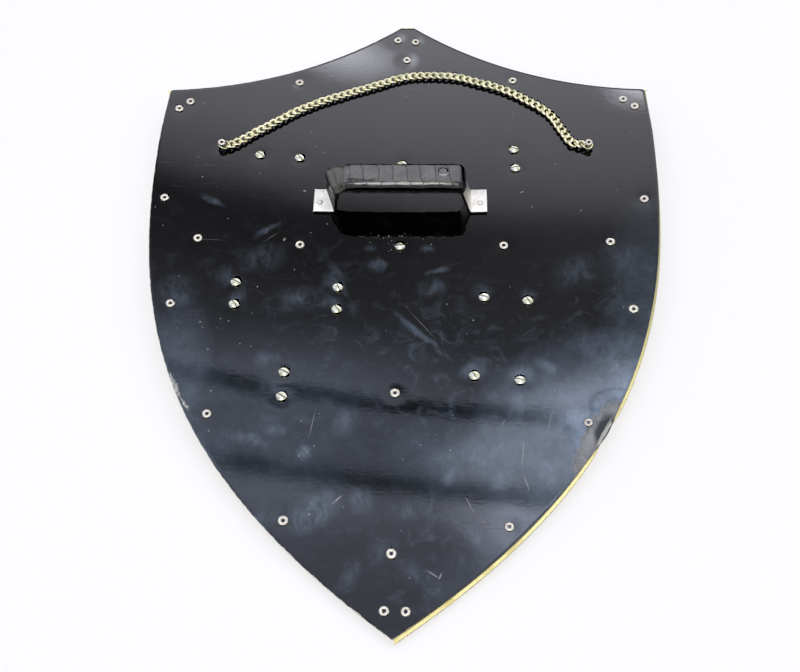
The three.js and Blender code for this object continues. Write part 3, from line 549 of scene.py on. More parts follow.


# Marks on the grip's tape as (x, y, length, width, turn, strength): scuffs, a painted highlight crescent on the
# stud's near side, a tear, and painted highlights along the front edge and on the stud
TAPE_SCUFFS_AND_STUD_HIGHLIGHT = (
    (12, 74, 12, 1.2, 20, 0.6), (-46, 84, 16, 6, 40, 0.5), (-30, 90, 18, 5, 10, 0.4), (38, 84, 14, 6, -20, 0.4),
    (4, 88, 20, 5, 30, 0.35), (-50, 78, 10, 3, 70, 0.5), (-58, 82, 24, 44, 0, 0.5),
    # The three marks on this line are a painted highlight crescent on the stud's near side.
    (35.5, 80.6, 10, 2.6, 4, 1.6), (39.6, 82.6, 6, 2, 60, 1.2), (31, 83, 6, 1.4, -60, 0.7),
)
TAPE_TEAR = ((-40, 76.4, 18, 2.2, -3, 1.8), (-27, 75.8, 15, 2, 5, 1.6), (-33.5, 75.8, 6, 1.8, -25, 1.4))
TAPE_PAINTED_HIGHLIGHTS = (
    # The three marks on this line are the stud's painted highlight crescent, the next a painted highlight along the
    # front edge.
    (35.8, 80.9, 9.5, 1.8, 3, 1.2), (39.8, 83, 4, 1.3, 62, 1.0), (31.6, 81.8, 3, 1, -50, 0.8),
    (-1, 72.8, 110, 2.4, 0, 1.6),
)


def wrap_tape():
    """Black tape pulled tight: satin, creased along the pull, greyed where it looks up by dust and a painted sheen,
    with painted highlights along its front edge and on the stud.
    """
    material, coords = new_material("black_tape", "wrap_tape")
    x, _, _ = parts(coords)
    _, _, up = facing(coords)
    creases = texture(moved(coords, (3.2, 1, 1), 8), 160, 5, 0.65, 0.8)
    skin = texture(coords, 1400, 3, 0.6)
    dusty = texture(coords, 90, 4, 0.6, 0.5)
    specks = step(texture(coords, 1500, 1), 0.72, 0.78)
    # Dust and painted sheen: the faces that look up are greyed.
    lying = step(up, 0.9, 0.985)
    dust_and_sheen = times(lying, step(dusty, 0.3, 0.75, 0.6, 1.0))
    dust_and_sheen = times(dust_and_sheen, step(texture(coords, 700, 4, 0.7), 0.3, 0.7, 0.72, 1.2))
    # Scuffs, with a painted highlight crescent on the stud.
    scuffs_and_stud_highlight = times(strokes(warped(coords, 120, 0.003), TAPE_SCUFFS_AND_STUD_HIGHLIGHT), lying)
    tear = step(strokes(warped(coords, 300, 0.0016), TAPE_TEAR), 0.1, 0.5)
    colour = mixed(dust_and_sheen, (0.0025, 0.0025, 0.003, 1), (0.158, 0.158, 0.15, 1))
    colour = mixed(times(scuffs_and_stud_highlight, 0.4), colour, (0.26, 0.26, 0.25, 1))
    shoulder = times(step(x, -0.047, -0.053), step(up, 0.0, 0.4))
    colour = mixed(shoulder, colour, (0.088, 0.086, 0.072, 1))
    colour = mixed(times(specks, 0.2), colour, (0.3, 0.29, 0.27, 1))
    colour = mixed(tear, colour, (0.0015, 0.0015, 0.0015, 1))
    # Painted highlights: a pale line along the front edge and a crescent on the stud's near side.
    painted_highlight = step(strokes(warped(coords, 200, 0.001), TAPE_PAINTED_HIGHLIGHTS), 0.1, 0.6, 0.0, 0.8)
    colour = mixed(painted_highlight, colour, (0.45, 0.45, 0.43, 1))
    colour = mixed(times(attribute(coords, "seam"), 0.85), colour, (0.01, 0.01, 0.01, 1))
    skin = bumped(creases, 0.00022, normal=bumped(skin, 0.00003))
    return surfaced(material, colour, plus(0.15, times(dust_and_sheen, 0.4)), skin, 0.0)


MATERIALS = {
    "paint": black_paint(),
    "brass": brass_sheet(),
    "ivory": plated("ivory_nickel", "nickel", (0.84, 0.8, 0.7, 1), (0.64, 0.59, 0.47, 1), 0.5),
    "zinc": plated("yellowed_zinc", "bare_steel", (0.74, 0.75, 0.64, 1), (0.55, 0.5, 0.24, 1), 0.24),
    "steel": strap_steel(),
    # Dark dirt and painted shade for the screws' slots.
    "screw_dirt_and_shade": plated("slot_dirt_and_painted_shade", "bare_steel", (0.2, 0.19, 0.13, 1), (0.1, 0.09, 0.05, 1), 0.5),
    # Near-black painted shade for the rivets' bores.
    "bore_painted_shade": plated("bore_painted_shade", "nickel", (0.035, 0.03, 0.026, 1), (0.015, 0.013, 0.01, 1), 0.6),
    # The chain carries painted shade on the undersides of its links.
    "chain": plated(
        "pale_chain_plate", "chain_metal", (0.92, 0.89, 0.62, 1), (0.64, 0.59, 0.32, 1), 0.38, shade_painted_under=True,
    ),
    "tape": wrap_tape(),
}


# The outline: two concave arcs meet in a blunt peak, and two long bows meet in the point
ARC_START = Vector((0, HALF_HEIGHT + TOP_ARCS_MEET_ABOVE))
ARC_END = Vector((SHOULDER_X, SHOULDER_Y))
ARC_CHORD = ARC_END - ARC_START
ARC_CENTRE = (ARC_START + ARC_END) / 2 + Vector((-ARC_CHORD.y, ARC_CHORD.x)).normalized() * math.sqrt(
    TOP_ARC_RADIUS ** 2 - ARC_CHORD.length_squared / 4
)
SIDE_HANDLES = (
    Vector((HALF_WIDTH, WIDEST_Y)),
    Vector((HALF_WIDTH, WIDEST_Y - SIDE_PULL_DOWN)),
    Vector((POINT_PULL_OUT * math.cos(POINT_ANGLE), -HALF_HEIGHT + POINT_PULL_OUT * math.sin(POINT_ANGLE))),
    Vector((0, -HALF_HEIGHT)),
)


def arc_point(x, outset=0.0):
    """A point of the right top arc, or of one beside it, that lies radially off its point at x."""
    reach = x - ARC_CENTRE.x
    height = math.sqrt(TOP_ARC_RADIUS ** 2 - reach ** 2)
    share = (TOP_ARC_RADIUS - outset) / TOP_ARC_RADIUS
    return Vector((ARC_CENTRE.x + reach * share, ARC_CENTRE.y - height * share))


def side_point(t, inset=0.0):
    """A point of the right side bow, or of one beside it."""
    a, b, c, d = SIDE_HANDLES
    s = 1 - t
    point = a * s ** 3 + b * 3 * s * s * t + c * 3 * s * t * t + d * t ** 3
    tangent = ((b - a) * s * s + (c - b) * 2 * s * t + (d - c) * t * t).normalized()
    return point + Vector((tangent.y, -tangent.x)) * inset


def crossing(falling, low, high):
    """Where a falling function crosses zero."""
    for _ in range(40):
        middle = (low + high) / 2
        if falling(middle) > 0:
            low = middle
        else:
            high = middle
    return (low + high) / 2


def lerp(a, b, share):
    return a + (b - a) * share


def smooth(value, low, high):
    share = min(max((value - low) / (high - low), 0), 1)
    return share * share * (3 - 2 * share)


def distances_along(points):
    """How far along a row of points each one lies, by its first two coordinates."""
    distances = [0.0]
    for a, b in zip(points, points[1:]):
        distances.append(distances[-1] + math.dist(a[:2], b[:2]))
    return distances


def stretch_at(distances, distance):
    """The stretch of a line that holds a distance along it, and the share of that stretch."""
    distance = min(max(distance, 0.0), distances[-1])
    i = 1
    while i < len(distances) - 1 and distances[i] < distance:
        i += 1
    return i, (distance - distances[i - 1]) / max(distances[i] - distances[i - 1], 1e-9)


def half_outline():
    """The right half of the outline, from the peak down to the point."""
    flat_end = ARC_CENTRE.x - math.sqrt(TOP_ARC_RADIUS ** 2 - (ARC_CENTRE.y - HALF_HEIGHT) ** 2)
    points = [Vector((lerp(0, flat_end, i / 4), HALF_HEIGHT)) for i in range(4)]
    round_start = SHOULDER_X - SHOULDER_ROUND
    points += [arc_point(lerp(flat_end, round_start, i / 90)) for i in range(90)]
    centre = Vector((round_start, arc_point(round_start).y - SHOULDER_ROUND))
    for angle in quarter(10)[:0:-1]:
        points.append(centre + SHOULDER_ROUND * Vector((math.cos(angle), math.sin(angle))))
    below = Vector((SHOULDER_X, centre.y))
    points += [below.lerp(SIDE_HANDLES[0], i / 24) for i in range(24)]
    points += [side_point(i / 240) for i in range(241)]
    return points


RIGHT_OUTLINE = half_outline()
OUTLINE = RIGHT_OUTLINE + [Vector((-p.x, p.y)) for p in RIGHT_OUTLINE[-2:0:-1]]

# What bends the sheet a little out of true: waves from rolling and a knock near its edge
WAVE_HEIGHTS = ((0.07, 1 / 120), (0.02, 1 / 42))
DENTS = (
    {"x": 171, "y": -132, "radius": 15, "height": -1.3},
    {"x": 150, "y": -146, "radius": 14, "height": 0.5},
)
KNOCK_OUT = Vector((1.7, -1.0))
KNOCK_OUT_PLACE = Vector((163, -143))
KNOCK_OUT_SPREAD = 240
STRIP_KNOCK_IN = Vector((-2.15, 1.275, 0))
STRIP_KNOCK_PLACE = Vector((162, -143))
STRIP_KNOCK_SPREAD = 220
STRIP_TOP_IN = ((1.5, -60, 170), (1.1, 140, 195))
STRIP_END_DROP = 0.8
PULL_RADIUS = 8
PULL_DEPTH = 0.1
FLAT_CORNER = (185, 180)
FLAT_CORNER_SHARE = 0.1


def knocked(x, y):
    """How far the knock at the right edge has moved the sheet and the strip in front of it."""
    height = 0.0
    for dent in DENTS:
        far = math.hypot(x - dent["x"], y - dent["y"]) / dent["radius"]
        height += dent["height"] * math.exp(-far * far)
    return height


def sheet_bend(x, y, pulls):
    """How far the back stands off the true sheet: its waves, its knock and the pull of each fastener."""
    height = sum(size * noise.noise(Vector((x * rate, y * rate, 3.7))) for size, rate in WAVE_HEIGHTS)
    height += knocked(x, y)
    for px, py in pulls:
        far = ((x - px) ** 2 + (y - py) ** 2) / PULL_RADIUS ** 2
        if far < 9:
            depth = PULL_DEPTH * (FLAT_CORNER_SHARE if px > FLAT_CORNER[0] and py > FLAT_CORNER[1] else 1)
            height -= depth * math.exp(-far)
    return height


def make_plate(pulls):
    """The sheet as rings that shrink from its outline to its middle, with a rounded edge."""
    centre = Vector((0, 20))
    edge_round = 0.35
    count = len(OUTLINE)
    normals = []
    for i in range(count):
        along = OUTLINE[(i + 1) % count] - OUTLINE[i - 1]
        normals.append(Vector((-along.y, along.x)).normalized())
    if normals[0].dot(OUTLINE[0] - centre) < 0:
        normals = [-n for n in normals]
    rings = 100
    verts, inward = [], []

    def ring(inset, share, drop, front):
        for point, normal in zip(OUTLINE, normals):
            spot = centre.lerp(point - normal * inset, share)
            spot += KNOCK_OUT * math.exp(-(spot - KNOCK_OUT_PLACE).length_squared / KNOCK_OUT_SPREAD)
            bend = sheet_bend(spot.x, spot.y, pulls)
            height = PLATE_FRONT + drop if front else PLATE_BACK - drop
            verts.append(Vector((spot.x, spot.y, height + rise(spot.x) + bend)))
            inward.append(inset + (1 - share) * (point - centre).dot(normal))

    shares = [((i + 1) / rings) ** 0.9 for i in range(rings)]
    for share in shares:
        ring(edge_round, share, 0, False)
    for quarter, front in ((0.33, False), (0.67, False), (1, False), (1, True), (0.67, True), (0.33, True)):
        angle = quarter * math.pi / 2
        ring(edge_round * (1 - math.sin(angle)), 1, edge_round * (1 - math.cos(angle)), front)
    for share in reversed(shares):
        ring(edge_round, share, 0, True)
    total = len(verts) // count
    faces = []
    for i in range(total - 1):
        for j in range(count):
            k = (j + 1) % count
            faces.append((i * count + j, i * count + k, (i + 1) * count + k, (i + 1) * count + j))
    for start, front in ((0, False), ((total - 1) * count, True)):
        verts.append(Vector((centre.x, centre.y, PLATE_FRONT if front else PLATE_BACK)))
        verts[-1].z += rise(centre.x) + sheet_bend(centre.x, centre.y, pulls)
        inward.append(HALF_WIDTH)
        hub = len(verts) - 1
        faces += [(start + j, start + (j + 1) % count, hub) for j in range(count)]
    plate = piece("shield_plate", (verts, faces), MATERIALS["paint"], replaces=["back_plate"], sharp=60)
    edge = plate.data.attributes.new("edge_distance", "FLOAT", "POINT")
    edge.data.foreach_set("value", [distance * MM for distance in inward])


# Strips and bars on the front
def strip_section(outer, inner):
    """A flat strip's section from its outer to its inner edge, with its corners taken off."""
    bevel = 0.25
    across = (inner - outer).normalized()
    section = []
    for edge, way in ((outer, 1), (inner, -1)):
        near = edge + across * bevel * way
        high = PLATE_FRONT - SEAT_GAP + rise(edge.x)
        low = high - STRIP_THICKNESS
        points = [(near, high), (edge, high - bevel), (edge, low + bevel), (near, low)]
        section.append([Vector((p.x, p.y, z)) for p, z in points])
    return section[0] + list(reversed(section[1]))


def border_strips(side_proud):
    """The right top strip and the right side strip, each between two rows of matching edge points."""
    half_gap = SEAT_GAP / 2
    inner_corner = Vector((HALF_WIDTH - STRIP_WIDTH, arc_point(HALF_WIDTH - STRIP_WIDTH).y - STRIP_WIDTH))
    outer_corner = Vector((HALF_WIDTH + STRIP_PROUD, arc_point(HALF_WIDTH).y + STRIP_PROUD))
    steps = 90
    top = []
    for i in range(steps + 1):
        outer = arc_point(lerp(half_gap, outer_corner.x, i / steps), STRIP_PROUD)
        outer.x = lerp(half_gap, outer_corner.x, i / steps)
        outer.y = min(outer.y, HALF_HEIGHT + PEAK_PROUD)
        inner_x = lerp(half_gap, inner_corner.x, i / steps)
        radius = TOP_ARC_RADIUS + STRIP_WIDTH
        inner = Vector((inner_x, ARC_CENTRE.y - math.sqrt(radius ** 2 - (inner_x - ARC_CENTRE.x) ** 2)))
        top.append(strip_section(outer, inner))
    gap = Vector((0, -SEAT_GAP))
    side_corner = outer_corner + Vector((side_proud - STRIP_PROUD, 0))
    side = [strip_section(side_corner + gap, inner_corner + gap)]
    last_inner = crossing(lambda t: side_point(t, STRIP_WIDTH).x - half_gap, 0, 1)
    for i in range(steps + 1):
        outer = side_point(i / steps, -side_proud)
        side.append(strip_section(outer, side_point(last_inner * i / steps, STRIP_WIDTH)))
    return loft(top), loft(side)


def across_mirror(shape):
    verts, faces = shape
    return [Vector((-v.x, v.y, v.z)) for v in verts], faces


def make_front_strips():
    top, side = border_strips(STRIP_PROUD)
    left_side = across_mirror(border_strips(LEFT_STRIP_PROUD)[1])
    slipped = placed(side, Matrix.Translation(RIGHT_STRIP_SHIFT))
    for v in slipped[0]:
        v.z += knocked(v.x, v.y)
        v += STRIP_KNOCK_IN * math.exp(-(v.xy - STRIP_KNOCK_PLACE).length_squared / STRIP_KNOCK_SPREAD)
        for height, low, high in STRIP_TOP_IN:
            v.x -= height * smooth(v.y, low, high)
        v.y -= STRIP_END_DROP * smooth(v.y, 170, 195)
    for name, shape in (
        ("top_left", across_mirror(top)), ("top_right", top), ("side_left", left_side), ("side_right", slipped),
    ):
        piece(f"brass_strip_{name}", shape, MATERIALS["brass"], replaces=[f"border_strip_{name}"])
    for node in ("cross_bar_upright", "cross_bar_arm_left", "cross_bar_arm_right"):
        low, high = (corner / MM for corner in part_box(node))
        xs = [lerp(low.x, high.x, i / 24) for i in range(25)]
        sections = [strip_section(Vector((x, high.y)), Vector((x, low.y))) for x in xs]
        piece(f"brass_{node}", loft(sections), MATERIALS["brass"], replaces=[node])


# Rivets and screws
def ring_profile(base, radius):
    """The rolled ring of a tubular rivet: a flattened face between its rounded bore and its rim."""
    face = base + RING_HEIGHT * 0.72
    return [
        (0, base - 1.2), (RING_BORE * 0.9, base - 1.2), (RING_BORE, base + 0.35), (RING_BORE + 0.12, face - 0.25),
        (RING_BORE + 0.4, face - 0.04), (RING_BORE + 0.9, face + 0.12), (radius - 1.2, face + 0.14),
        (radius - 0.7, face + 0.02), (radius - 0.3, face - 0.2), (radius - 0.06, face - 0.5),
        (radius, base + 0.45), (radius - 0.1, base + 0.12), (radius - 0.35, base),
    ]


def dome_profile(front):
    points = [(RIVET_RADIUS, front), (DOME_RADIUS, front)]
    for angle in quarter(9)[1:]:
        points.append((DOME_RADIUS * math.cos(angle), front - DOME_HEIGHT * math.sin(angle)))
    points[-1] = (0, front - DOME_HEIGHT)
    return points


def make_rivets():
    for node in sorted(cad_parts):
        if not node.startswith("rivet_"):
            continue
        on_chain = node.startswith("rivet_chain")
        spot = place_of(node)
        base = CHAIN_NECK_HEIGHT if on_chain else 0.0
        front = -(PLATE_THICKNESS if on_chain else PLATE_THICKNESS + STRIP_THICKNESS + SEAT_GAP) - SEAT_GAP
        neck = [(CHAIN_NECK_RADIUS, base), (CHAIN_NECK_RADIUS, 0)] if on_chain else [(RIVET_RADIUS, 0)]
        radius = RING_RADIUS * RING_SHARES.get(node, 0.96)
        profile = ring_profile(base, radius) + neck + dome_profile(front)
        seed = spot.x * 0.37 + spot.y * 0.11
        shape = placed(turned(profile, wobble=0.05, seed=seed), back_frame(spot.x, spot.y))
        rivet = piece(f"tubular_{node}", shape, MATERIALS["ivory"], replaces=[node])
        each = len(profile) - 1
        # The bore's faces get painted shade: a near-black material in the hole.
        with_second_material(rivet, MATERIALS["bore_painted_shade"], [i * each + k for i in range(FASTENER_SIDES) for k in (0, 1)])


def screw_template():
    """A slotted screw with a domed head, cut once and copied to each place."""
    profile = [(0, -SEAT_GAP - PLATE_THICKNESS - STRIP_THICKNESS - BADGE_THICKNESS / 2)]
    profile += [(SCREW_RADIUS, profile[0][1]), (SCREW_RADIUS, 0), (SCREW_HEAD_RADIUS, 0)]
    rim = 0.55
    for angle in quarter(10):
        height = rim + (SCREW_HEAD_HEIGHT + SEAT_GAP - rim) * math.sin(angle) ** 0.9
        profile.append((SCREW_HEAD_RADIUS * math.cos(angle) ** 0.85, height))
    profile[-1] = (0, SCREW_HEAD_HEIGHT + SEAT_GAP)
    verts, faces = turned(profile, 48)
    half_length = SCREW_HEAD_RADIUS + 1
    low = SCREW_HEAD_HEIGHT + SEAT_GAP - SLOT_DEPTH
    slot = loft([
        [Vector((half_length * u, SLOT_WIDTH / 2 * v, z)) for u, v in SQUARE]
        for z in (low, SCREW_HEAD_HEIGHT + 2)
    ])
    blank = new_object("screw_blank", new_mesh("screw_blank", (verts, faces)))
    cutter = new_object("slot_cutter", new_mesh("slot_cutter", slot))
    cut = blank.modifiers.new("slot", "BOOLEAN")
    cut.object = cutter
    cut.operation = "DIFFERENCE"
    soften = blank.modifiers.new("soften", "BEVEL")
    soften.width = 0.12
    soften.segments = 2
    soften.limit_method = "ANGLE"
    soften.angle_limit = math.radians(40)
    shape = final_shape(blank)
    for obj in (blank, cutter):
        bpy.data.objects.remove(obj)
    in_slot = []
    for i, face in enumerate(shape[1]):
        spots = [shape[0][v] for v in face]
        middle = sum(spots, Vector()) / len(spots)
        if max(abs(v.y) for v in spots) < SLOT_WIDTH / 2 + 0.02 and low - 0.05 < middle.z and middle.length < 6:
            in_slot.append(i)
    return shape, in_slot


# Badge places as shares of the half width and half height, and each one's turn in degrees
BADGES = {
    "crown_badge_upper_left": ("crown", -0.506, 0.439, -2.6),
    "crown_badge_lower_right_high": ("crown", 0.391, -0.066, -6.3),
    "crown_badge_lower_right_low": ("crown", 0.35, -0.313, -6.9),
    "lily_badge_upper_right": ("lily", 0.446, 0.433, 2),
    "lily_badge_lower_left_outer": ("lily", -0.619, -0.058, 2),
    "lily_badge_lower_left_inner": ("lily", -0.237, -0.064, 0.3),
    "lily_badge_lower_left_low": ("lily", -0.411, -0.338, -0.5),
}
CROWN_WIDTH = 56
CROWN_HEIGHT = 40
CROWN_SCREW_SPACING = 36.9
LILY_WIDTH = 34
LILY_HEIGHT = 46
LILY_SCREW_SPACING = 21.8
SWORD_SCREW_X = -1.8
SWORD_SCREW_YS = (125.5, 34.7)


def screw_places():
    places = [(SWORD_SCREW_X, y) for y in SWORD_SCREW_YS]
    for form, x_share, y_share, turn in BADGES.values():
        heading = math.radians(turn + (90 if form == "lily" else 0))
        reach = (LILY_SCREW_SPACING if form == "lily" else CROWN_SCREW_SPACING) / 2
        for end in (-1, 1):
            places.append((
                x_share * HALF_WIDTH + end * reach * math.cos(heading),
                y_share * HALF_HEIGHT + end * reach * math.sin(heading),
            ))
    return places


def make_screws(places):
    shape, in_slot = screw_template()
    turns = random.Random(11)
    for i, (x, y) in enumerate(places):
        matrix = back_frame(x, y) @ Matrix.Rotation(turns.uniform(-1.2, 0.2), 4, "Z")
        matrix = matrix @ Matrix.Rotation(turns.uniform(-0.05, 0.05), 4, "X")
        screw = piece(f"badge_screw_{i + 1}", placed(shape, matrix), MATERIALS["zinc"], sharp=30)
        # The slot's faces get the dark material: dirt and painted shade in the slot.
        with_second_material(screw, MATERIALS["screw_dirt_and_shade"], in_slot)


# Badges
CROWN_SHARES = (
    (-0.36, -0.5), (0.36, -0.5), (0.36, -0.27), (0.5, 0.28), (0.27, -0.02), (0.18, 0.38), (0.1, 0.03),
    (0, 0.5), (-0.1, 0.03), (-0.18, 0.38), (-0.27, -0.02), (-0.5, 0.28), (-0.36, -0.27),
)
LILY_HALF_SHARES = (
    (0, 0.5), (0.13, 0.32), (0.17, 0.12), (0.09, -0.06), (0.27, -0.04), (0.31, 0.1), (0.26, 0.2), (0.38, 0.24),
    (0.49, 0.12), (0.46, -0.08), (0.32, -0.18), (0.14, -0.17), (0.26, -0.23), (0.26, -0.29), (0.11, -0.3),
    (0.2, -0.41), (0.09, -0.4), (0, -0.5),
)
SWORD_TOP_Y = 158
SWORD_TIP_Y = -88
GUARD_Y = 88
GUARD_HALF = 46
GUARD_THICKNESS = 9
HILT_HALF = 6.5
POMMEL_HALF = 11
BLADE_HALF = 10


def sword_outline():
    top, bottom = GUARD_Y + GUARD_THICKNESS / 2, GUARD_Y - GUARD_THICKNESS / 2
    right = [
        (POMMEL_HALF * 0.6, SWORD_TOP_Y), (POMMEL_HALF, SWORD_TOP_Y - POMMEL_HALF * 0.7),
        (POMMEL_HALF, SWORD_TOP_Y - POMMEL_HALF * 1.4), (HILT_HALF, SWORD_TOP_Y - POMMEL_HALF * 2),
        (HILT_HALF * 0.85, top), (GUARD_HALF - GUARD_THICKNESS, top),
        (GUARD_HALF, top + GUARD_THICKNESS * 0.25), (GUARD_HALF, bottom - GUARD_THICKNESS * 0.25),
        (GUARD_HALF - GUARD_THICKNESS, bottom), (BLADE_HALF, bottom),
        (BLADE_HALF * 0.72, SWORD_TIP_Y + BLADE_HALF * 2.2),
    ]
    return right + [(0, SWORD_TIP_Y)] + [(-x, y) for x, y in reversed(right)]


def badge_slab(name, outline, depth, round_edge):
    """A flat outline with its front edge rounded over, from z = 0 down to its depth."""
    curve = bpy.data.curves.new(name, "CURVE")
    curve.dimensions = "2D"
    curve.fill_mode = "BOTH"
    curve.extrude = depth / 2 - round_edge
    curve.bevel_depth = round_edge
    curve.bevel_resolution = 3
    curve.offset = -round_edge
    spline = curve.splines.new("POLY")
    spline.points.add(len(outline) - 1)
    for point, (x, y) in zip(spline.points, outline):
        point.co = (x, y, 0, 1)
    spline.use_cyclic_u = True
    holder = new_object(name, curve)
    verts, faces = final_shape(holder)
    bpy.data.objects.remove(holder)
    bpy.data.curves.remove(curve)
    return [v - Vector((0, 0, depth / 2)) for v in verts], faces


def make_badges():
    outlines = {
        "crown": [(u * CROWN_WIDTH, v * CROWN_HEIGHT) for u, v in CROWN_SHARES],
        "lily": [(u * LILY_WIDTH, v * LILY_HEIGHT) for u, v in LILY_HALF_SHARES]
        + [(-u * LILY_WIDTH, v * LILY_HEIGHT) for u, v in reversed(LILY_HALF_SHARES[1:-1])],
    }
    for node, (form, x_share, y_share, turn) in BADGES.items():
        angle = math.radians(turn)
        matrix = back_frame(
            x_share * HALF_WIDTH, y_share * HALF_HEIGHT, (math.cos(angle), math.sin(angle)),
            -PLATE_THICKNESS - SEAT_GAP,
        )
        slab = badge_slab(node, outlines[form], BADGE_THICKNESS, 0.7)
        piece(f"brass_{node}", placed(slab, matrix), MATERIALS["brass"], replaces=[node], sharp=50)
    slab = badge_slab("sword", sword_outline(), BADGE_THICKNESS, 0.7)
    matrix = Matrix.Translation((0, 0, BADGE_THICKNESS))
    piece("brass_sword_badge", placed(slab, matrix), MATERIALS["brass"], replaces=["sword_badge"], sharp=50)


# The grip
STRAP_WIDTH = 25
STRAP_THICKNESS = 2.5
STRAP_Y = 81.9
STRAP_BEND_RADIUS = 3
LEFT_FOOT_END = 80.5
LEFT_FOOT_BEND = 64.8
LEFT_LEG_TOP = 61.5
LEFT_LEG_HEIGHT = 30.5
LEFT_SHOULDER = 50
RIGHT_SHOULDER = 50.5
RIGHT_FOOT_BEND = 59.6
RIGHT_FOOT_END = 75.3
GRIP_HEIGHT = 35.5
LEG_SKEW_SHARE = -0.34
FOOT_RIVET_RADIUS = 2.6
FOOT_RIVET_HEIGHT = 1
FOOT_RIVET_XS = (-75, 69.3)
FOOT_RIVET_DROP = 2.3
WRAP_WIDTH = 26.8
WRAP_DEPTH = 12.5
WRAP_LEG_DEPTH = 6.5
WRAP_LAP = 0.55
WRAP_TURNS = 10
WRAP_LEFT_DROP = 9
WRAP_RIGHT_DROP = 2
WRAP_FADE = 8
WRAP_SIDE_SHARE = 0.42
WRAP_TOP_SHARE = 0.52
WRAP_LEAN = 0.34


def on_back(x):
    return PLATE_BACK + rise(x) + SEAT_GAP + STRAP_THICKNESS / 2


def grip_line():
    """The grip's middle line as (x, z, skew, tangent), its corners rounded with short arcs."""
    top = PLATE_BACK + GRIP_HEIGHT
    corners = [
        (-LEFT_FOOT_END, on_back(LEFT_FOOT_END), 0),
        (-LEFT_FOOT_BEND, on_back(LEFT_FOOT_BEND), LEG_SKEW_SHARE),
        (-LEFT_LEG_TOP, PLATE_BACK + LEFT_LEG_HEIGHT, LEG_SKEW_SHARE),
        (-LEFT_SHOULDER, top, 0),
        (RIGHT_SHOULDER, top, 0),
        (RIGHT_FOOT_BEND, on_back(RIGHT_FOOT_BEND), 0),
        (RIGHT_FOOT_END, on_back(RIGHT_FOOT_END), 0),
    ]
    arc_steps = 8
    points = [corners[0]]
    for before, corner, after in zip(corners, corners[1:], corners[2:]):
        spot = Vector(corner[:2])
        into = (spot - Vector(before[:2])).normalized()
        out = (Vector(after[:2]) - spot).normalized()
        turn = into.angle(out)
        cut = STRAP_BEND_RADIUS * math.tan(turn / 2)
        for i in range(arc_steps + 1):
            share = i / arc_steps
            a = spot - into * cut * (1 - share)
            b = spot + out * cut * share
            mixed_point = a.lerp(b, share)
            points.append((mixed_point.x, mixed_point.y, corner[2]))
    points.append(corners[-1])
    return points


class GripLine:
    """The grip's middle line by distance along it."""

    def __init__(self):
        self.points = grip_line()
        self.distances = distances_along(self.points)

    def at(self, distance):
        i, share = stretch_at(self.distances, distance)
        return [lerp(p, q, share) for p, q in zip(self.points[i - 1], self.points[i])]

    def frame_at(self, distance, reach=0.6):
        """The place, skew and unit tangent at a distance, the tangent taken over a short reach."""
        x, z, skew = self.at(distance)
        before, after = self.at(distance - reach), self.at(distance + reach)
        tangent = Vector((after[0] - before[0], after[1] - before[1])).normalized()
        return x, z, skew, tangent


LINE = GripLine()
CORNER_POINTS = 9


def grip_point(spot, out, across):
    x, z, skew, tangent = spot
    return Vector((x - tangent.y * out + skew * across, STRAP_Y + across, z + tangent.x * out))


def make_strap():
    bevel = 0.45
    half_width, half_depth = STRAP_WIDTH / 2, STRAP_THICKNESS / 2
    outline = []
    for side, face in ((1, 1), (-1, 1), (-1, -1), (1, -1)):
        corner = [
            (side * (half_width - bevel * inset), face * (half_depth - bevel * drop))
            for inset, drop in ((0, 1), (0.3, 0.3), (1, 0))
        ]
        outline += corner if side * face > 0 else reversed(corner)
    total = LINE.distances[-1]
    sections = []
    for i in range(241):
        spot = LINE.frame_at(total * i / 240)
        sections.append([grip_point(spot, out, across) for across, out in outline])
    piece("steel_strap", loft(sections), MATERIALS["steel"], replaces=["grip_strap"])
    for name, x in zip(("grip_rivet_left", "grip_rivet_right"), FOOT_RIVET_XS):
        base = STRAP_THICKNESS + SEAT_GAP
        profile = [(0, -PLATE_THICKNESS - SEAT_GAP - FOOT_RIVET_HEIGHT)]
        profile += [(FOOT_RIVET_RADIUS, -PLATE_THICKNESS - SEAT_GAP), (1.6, -PLATE_THICKNESS - SEAT_GAP), (1.6, base)]
        for angle in quarter(8)[:-1]:
            profile.append((FOOT_RIVET_RADIUS * math.cos(angle), base + FOOT_RIVET_HEIGHT * 1.2 * math.sin(angle)))
        profile.append((0, base + FOOT_RIVET_HEIGHT * 1.2))
        shape = placed(turned(profile, wobble=0.06, seed=x), back_frame(x, STRAP_Y - FOOT_RIVET_DROP))
        piece(f"steel_{name}", shape, MATERIALS["steel"], replaces=[name])


def squared(value, power):
    return math.copysign(abs(value) ** power, value)


TAPE_SLANT = 0.32
STUD_PLACE = (35.5, 2)
STUD_RADIUS = 5.2
STUD_HEIGHT = 0.9
STUD_DISH = 0.63
SLIT_FROM = -47
SLIT_TO = -24
SLIT_ACROSS = -6.2
SLIT_REACH = 1.2
SLIT_DEPTH = 0.5


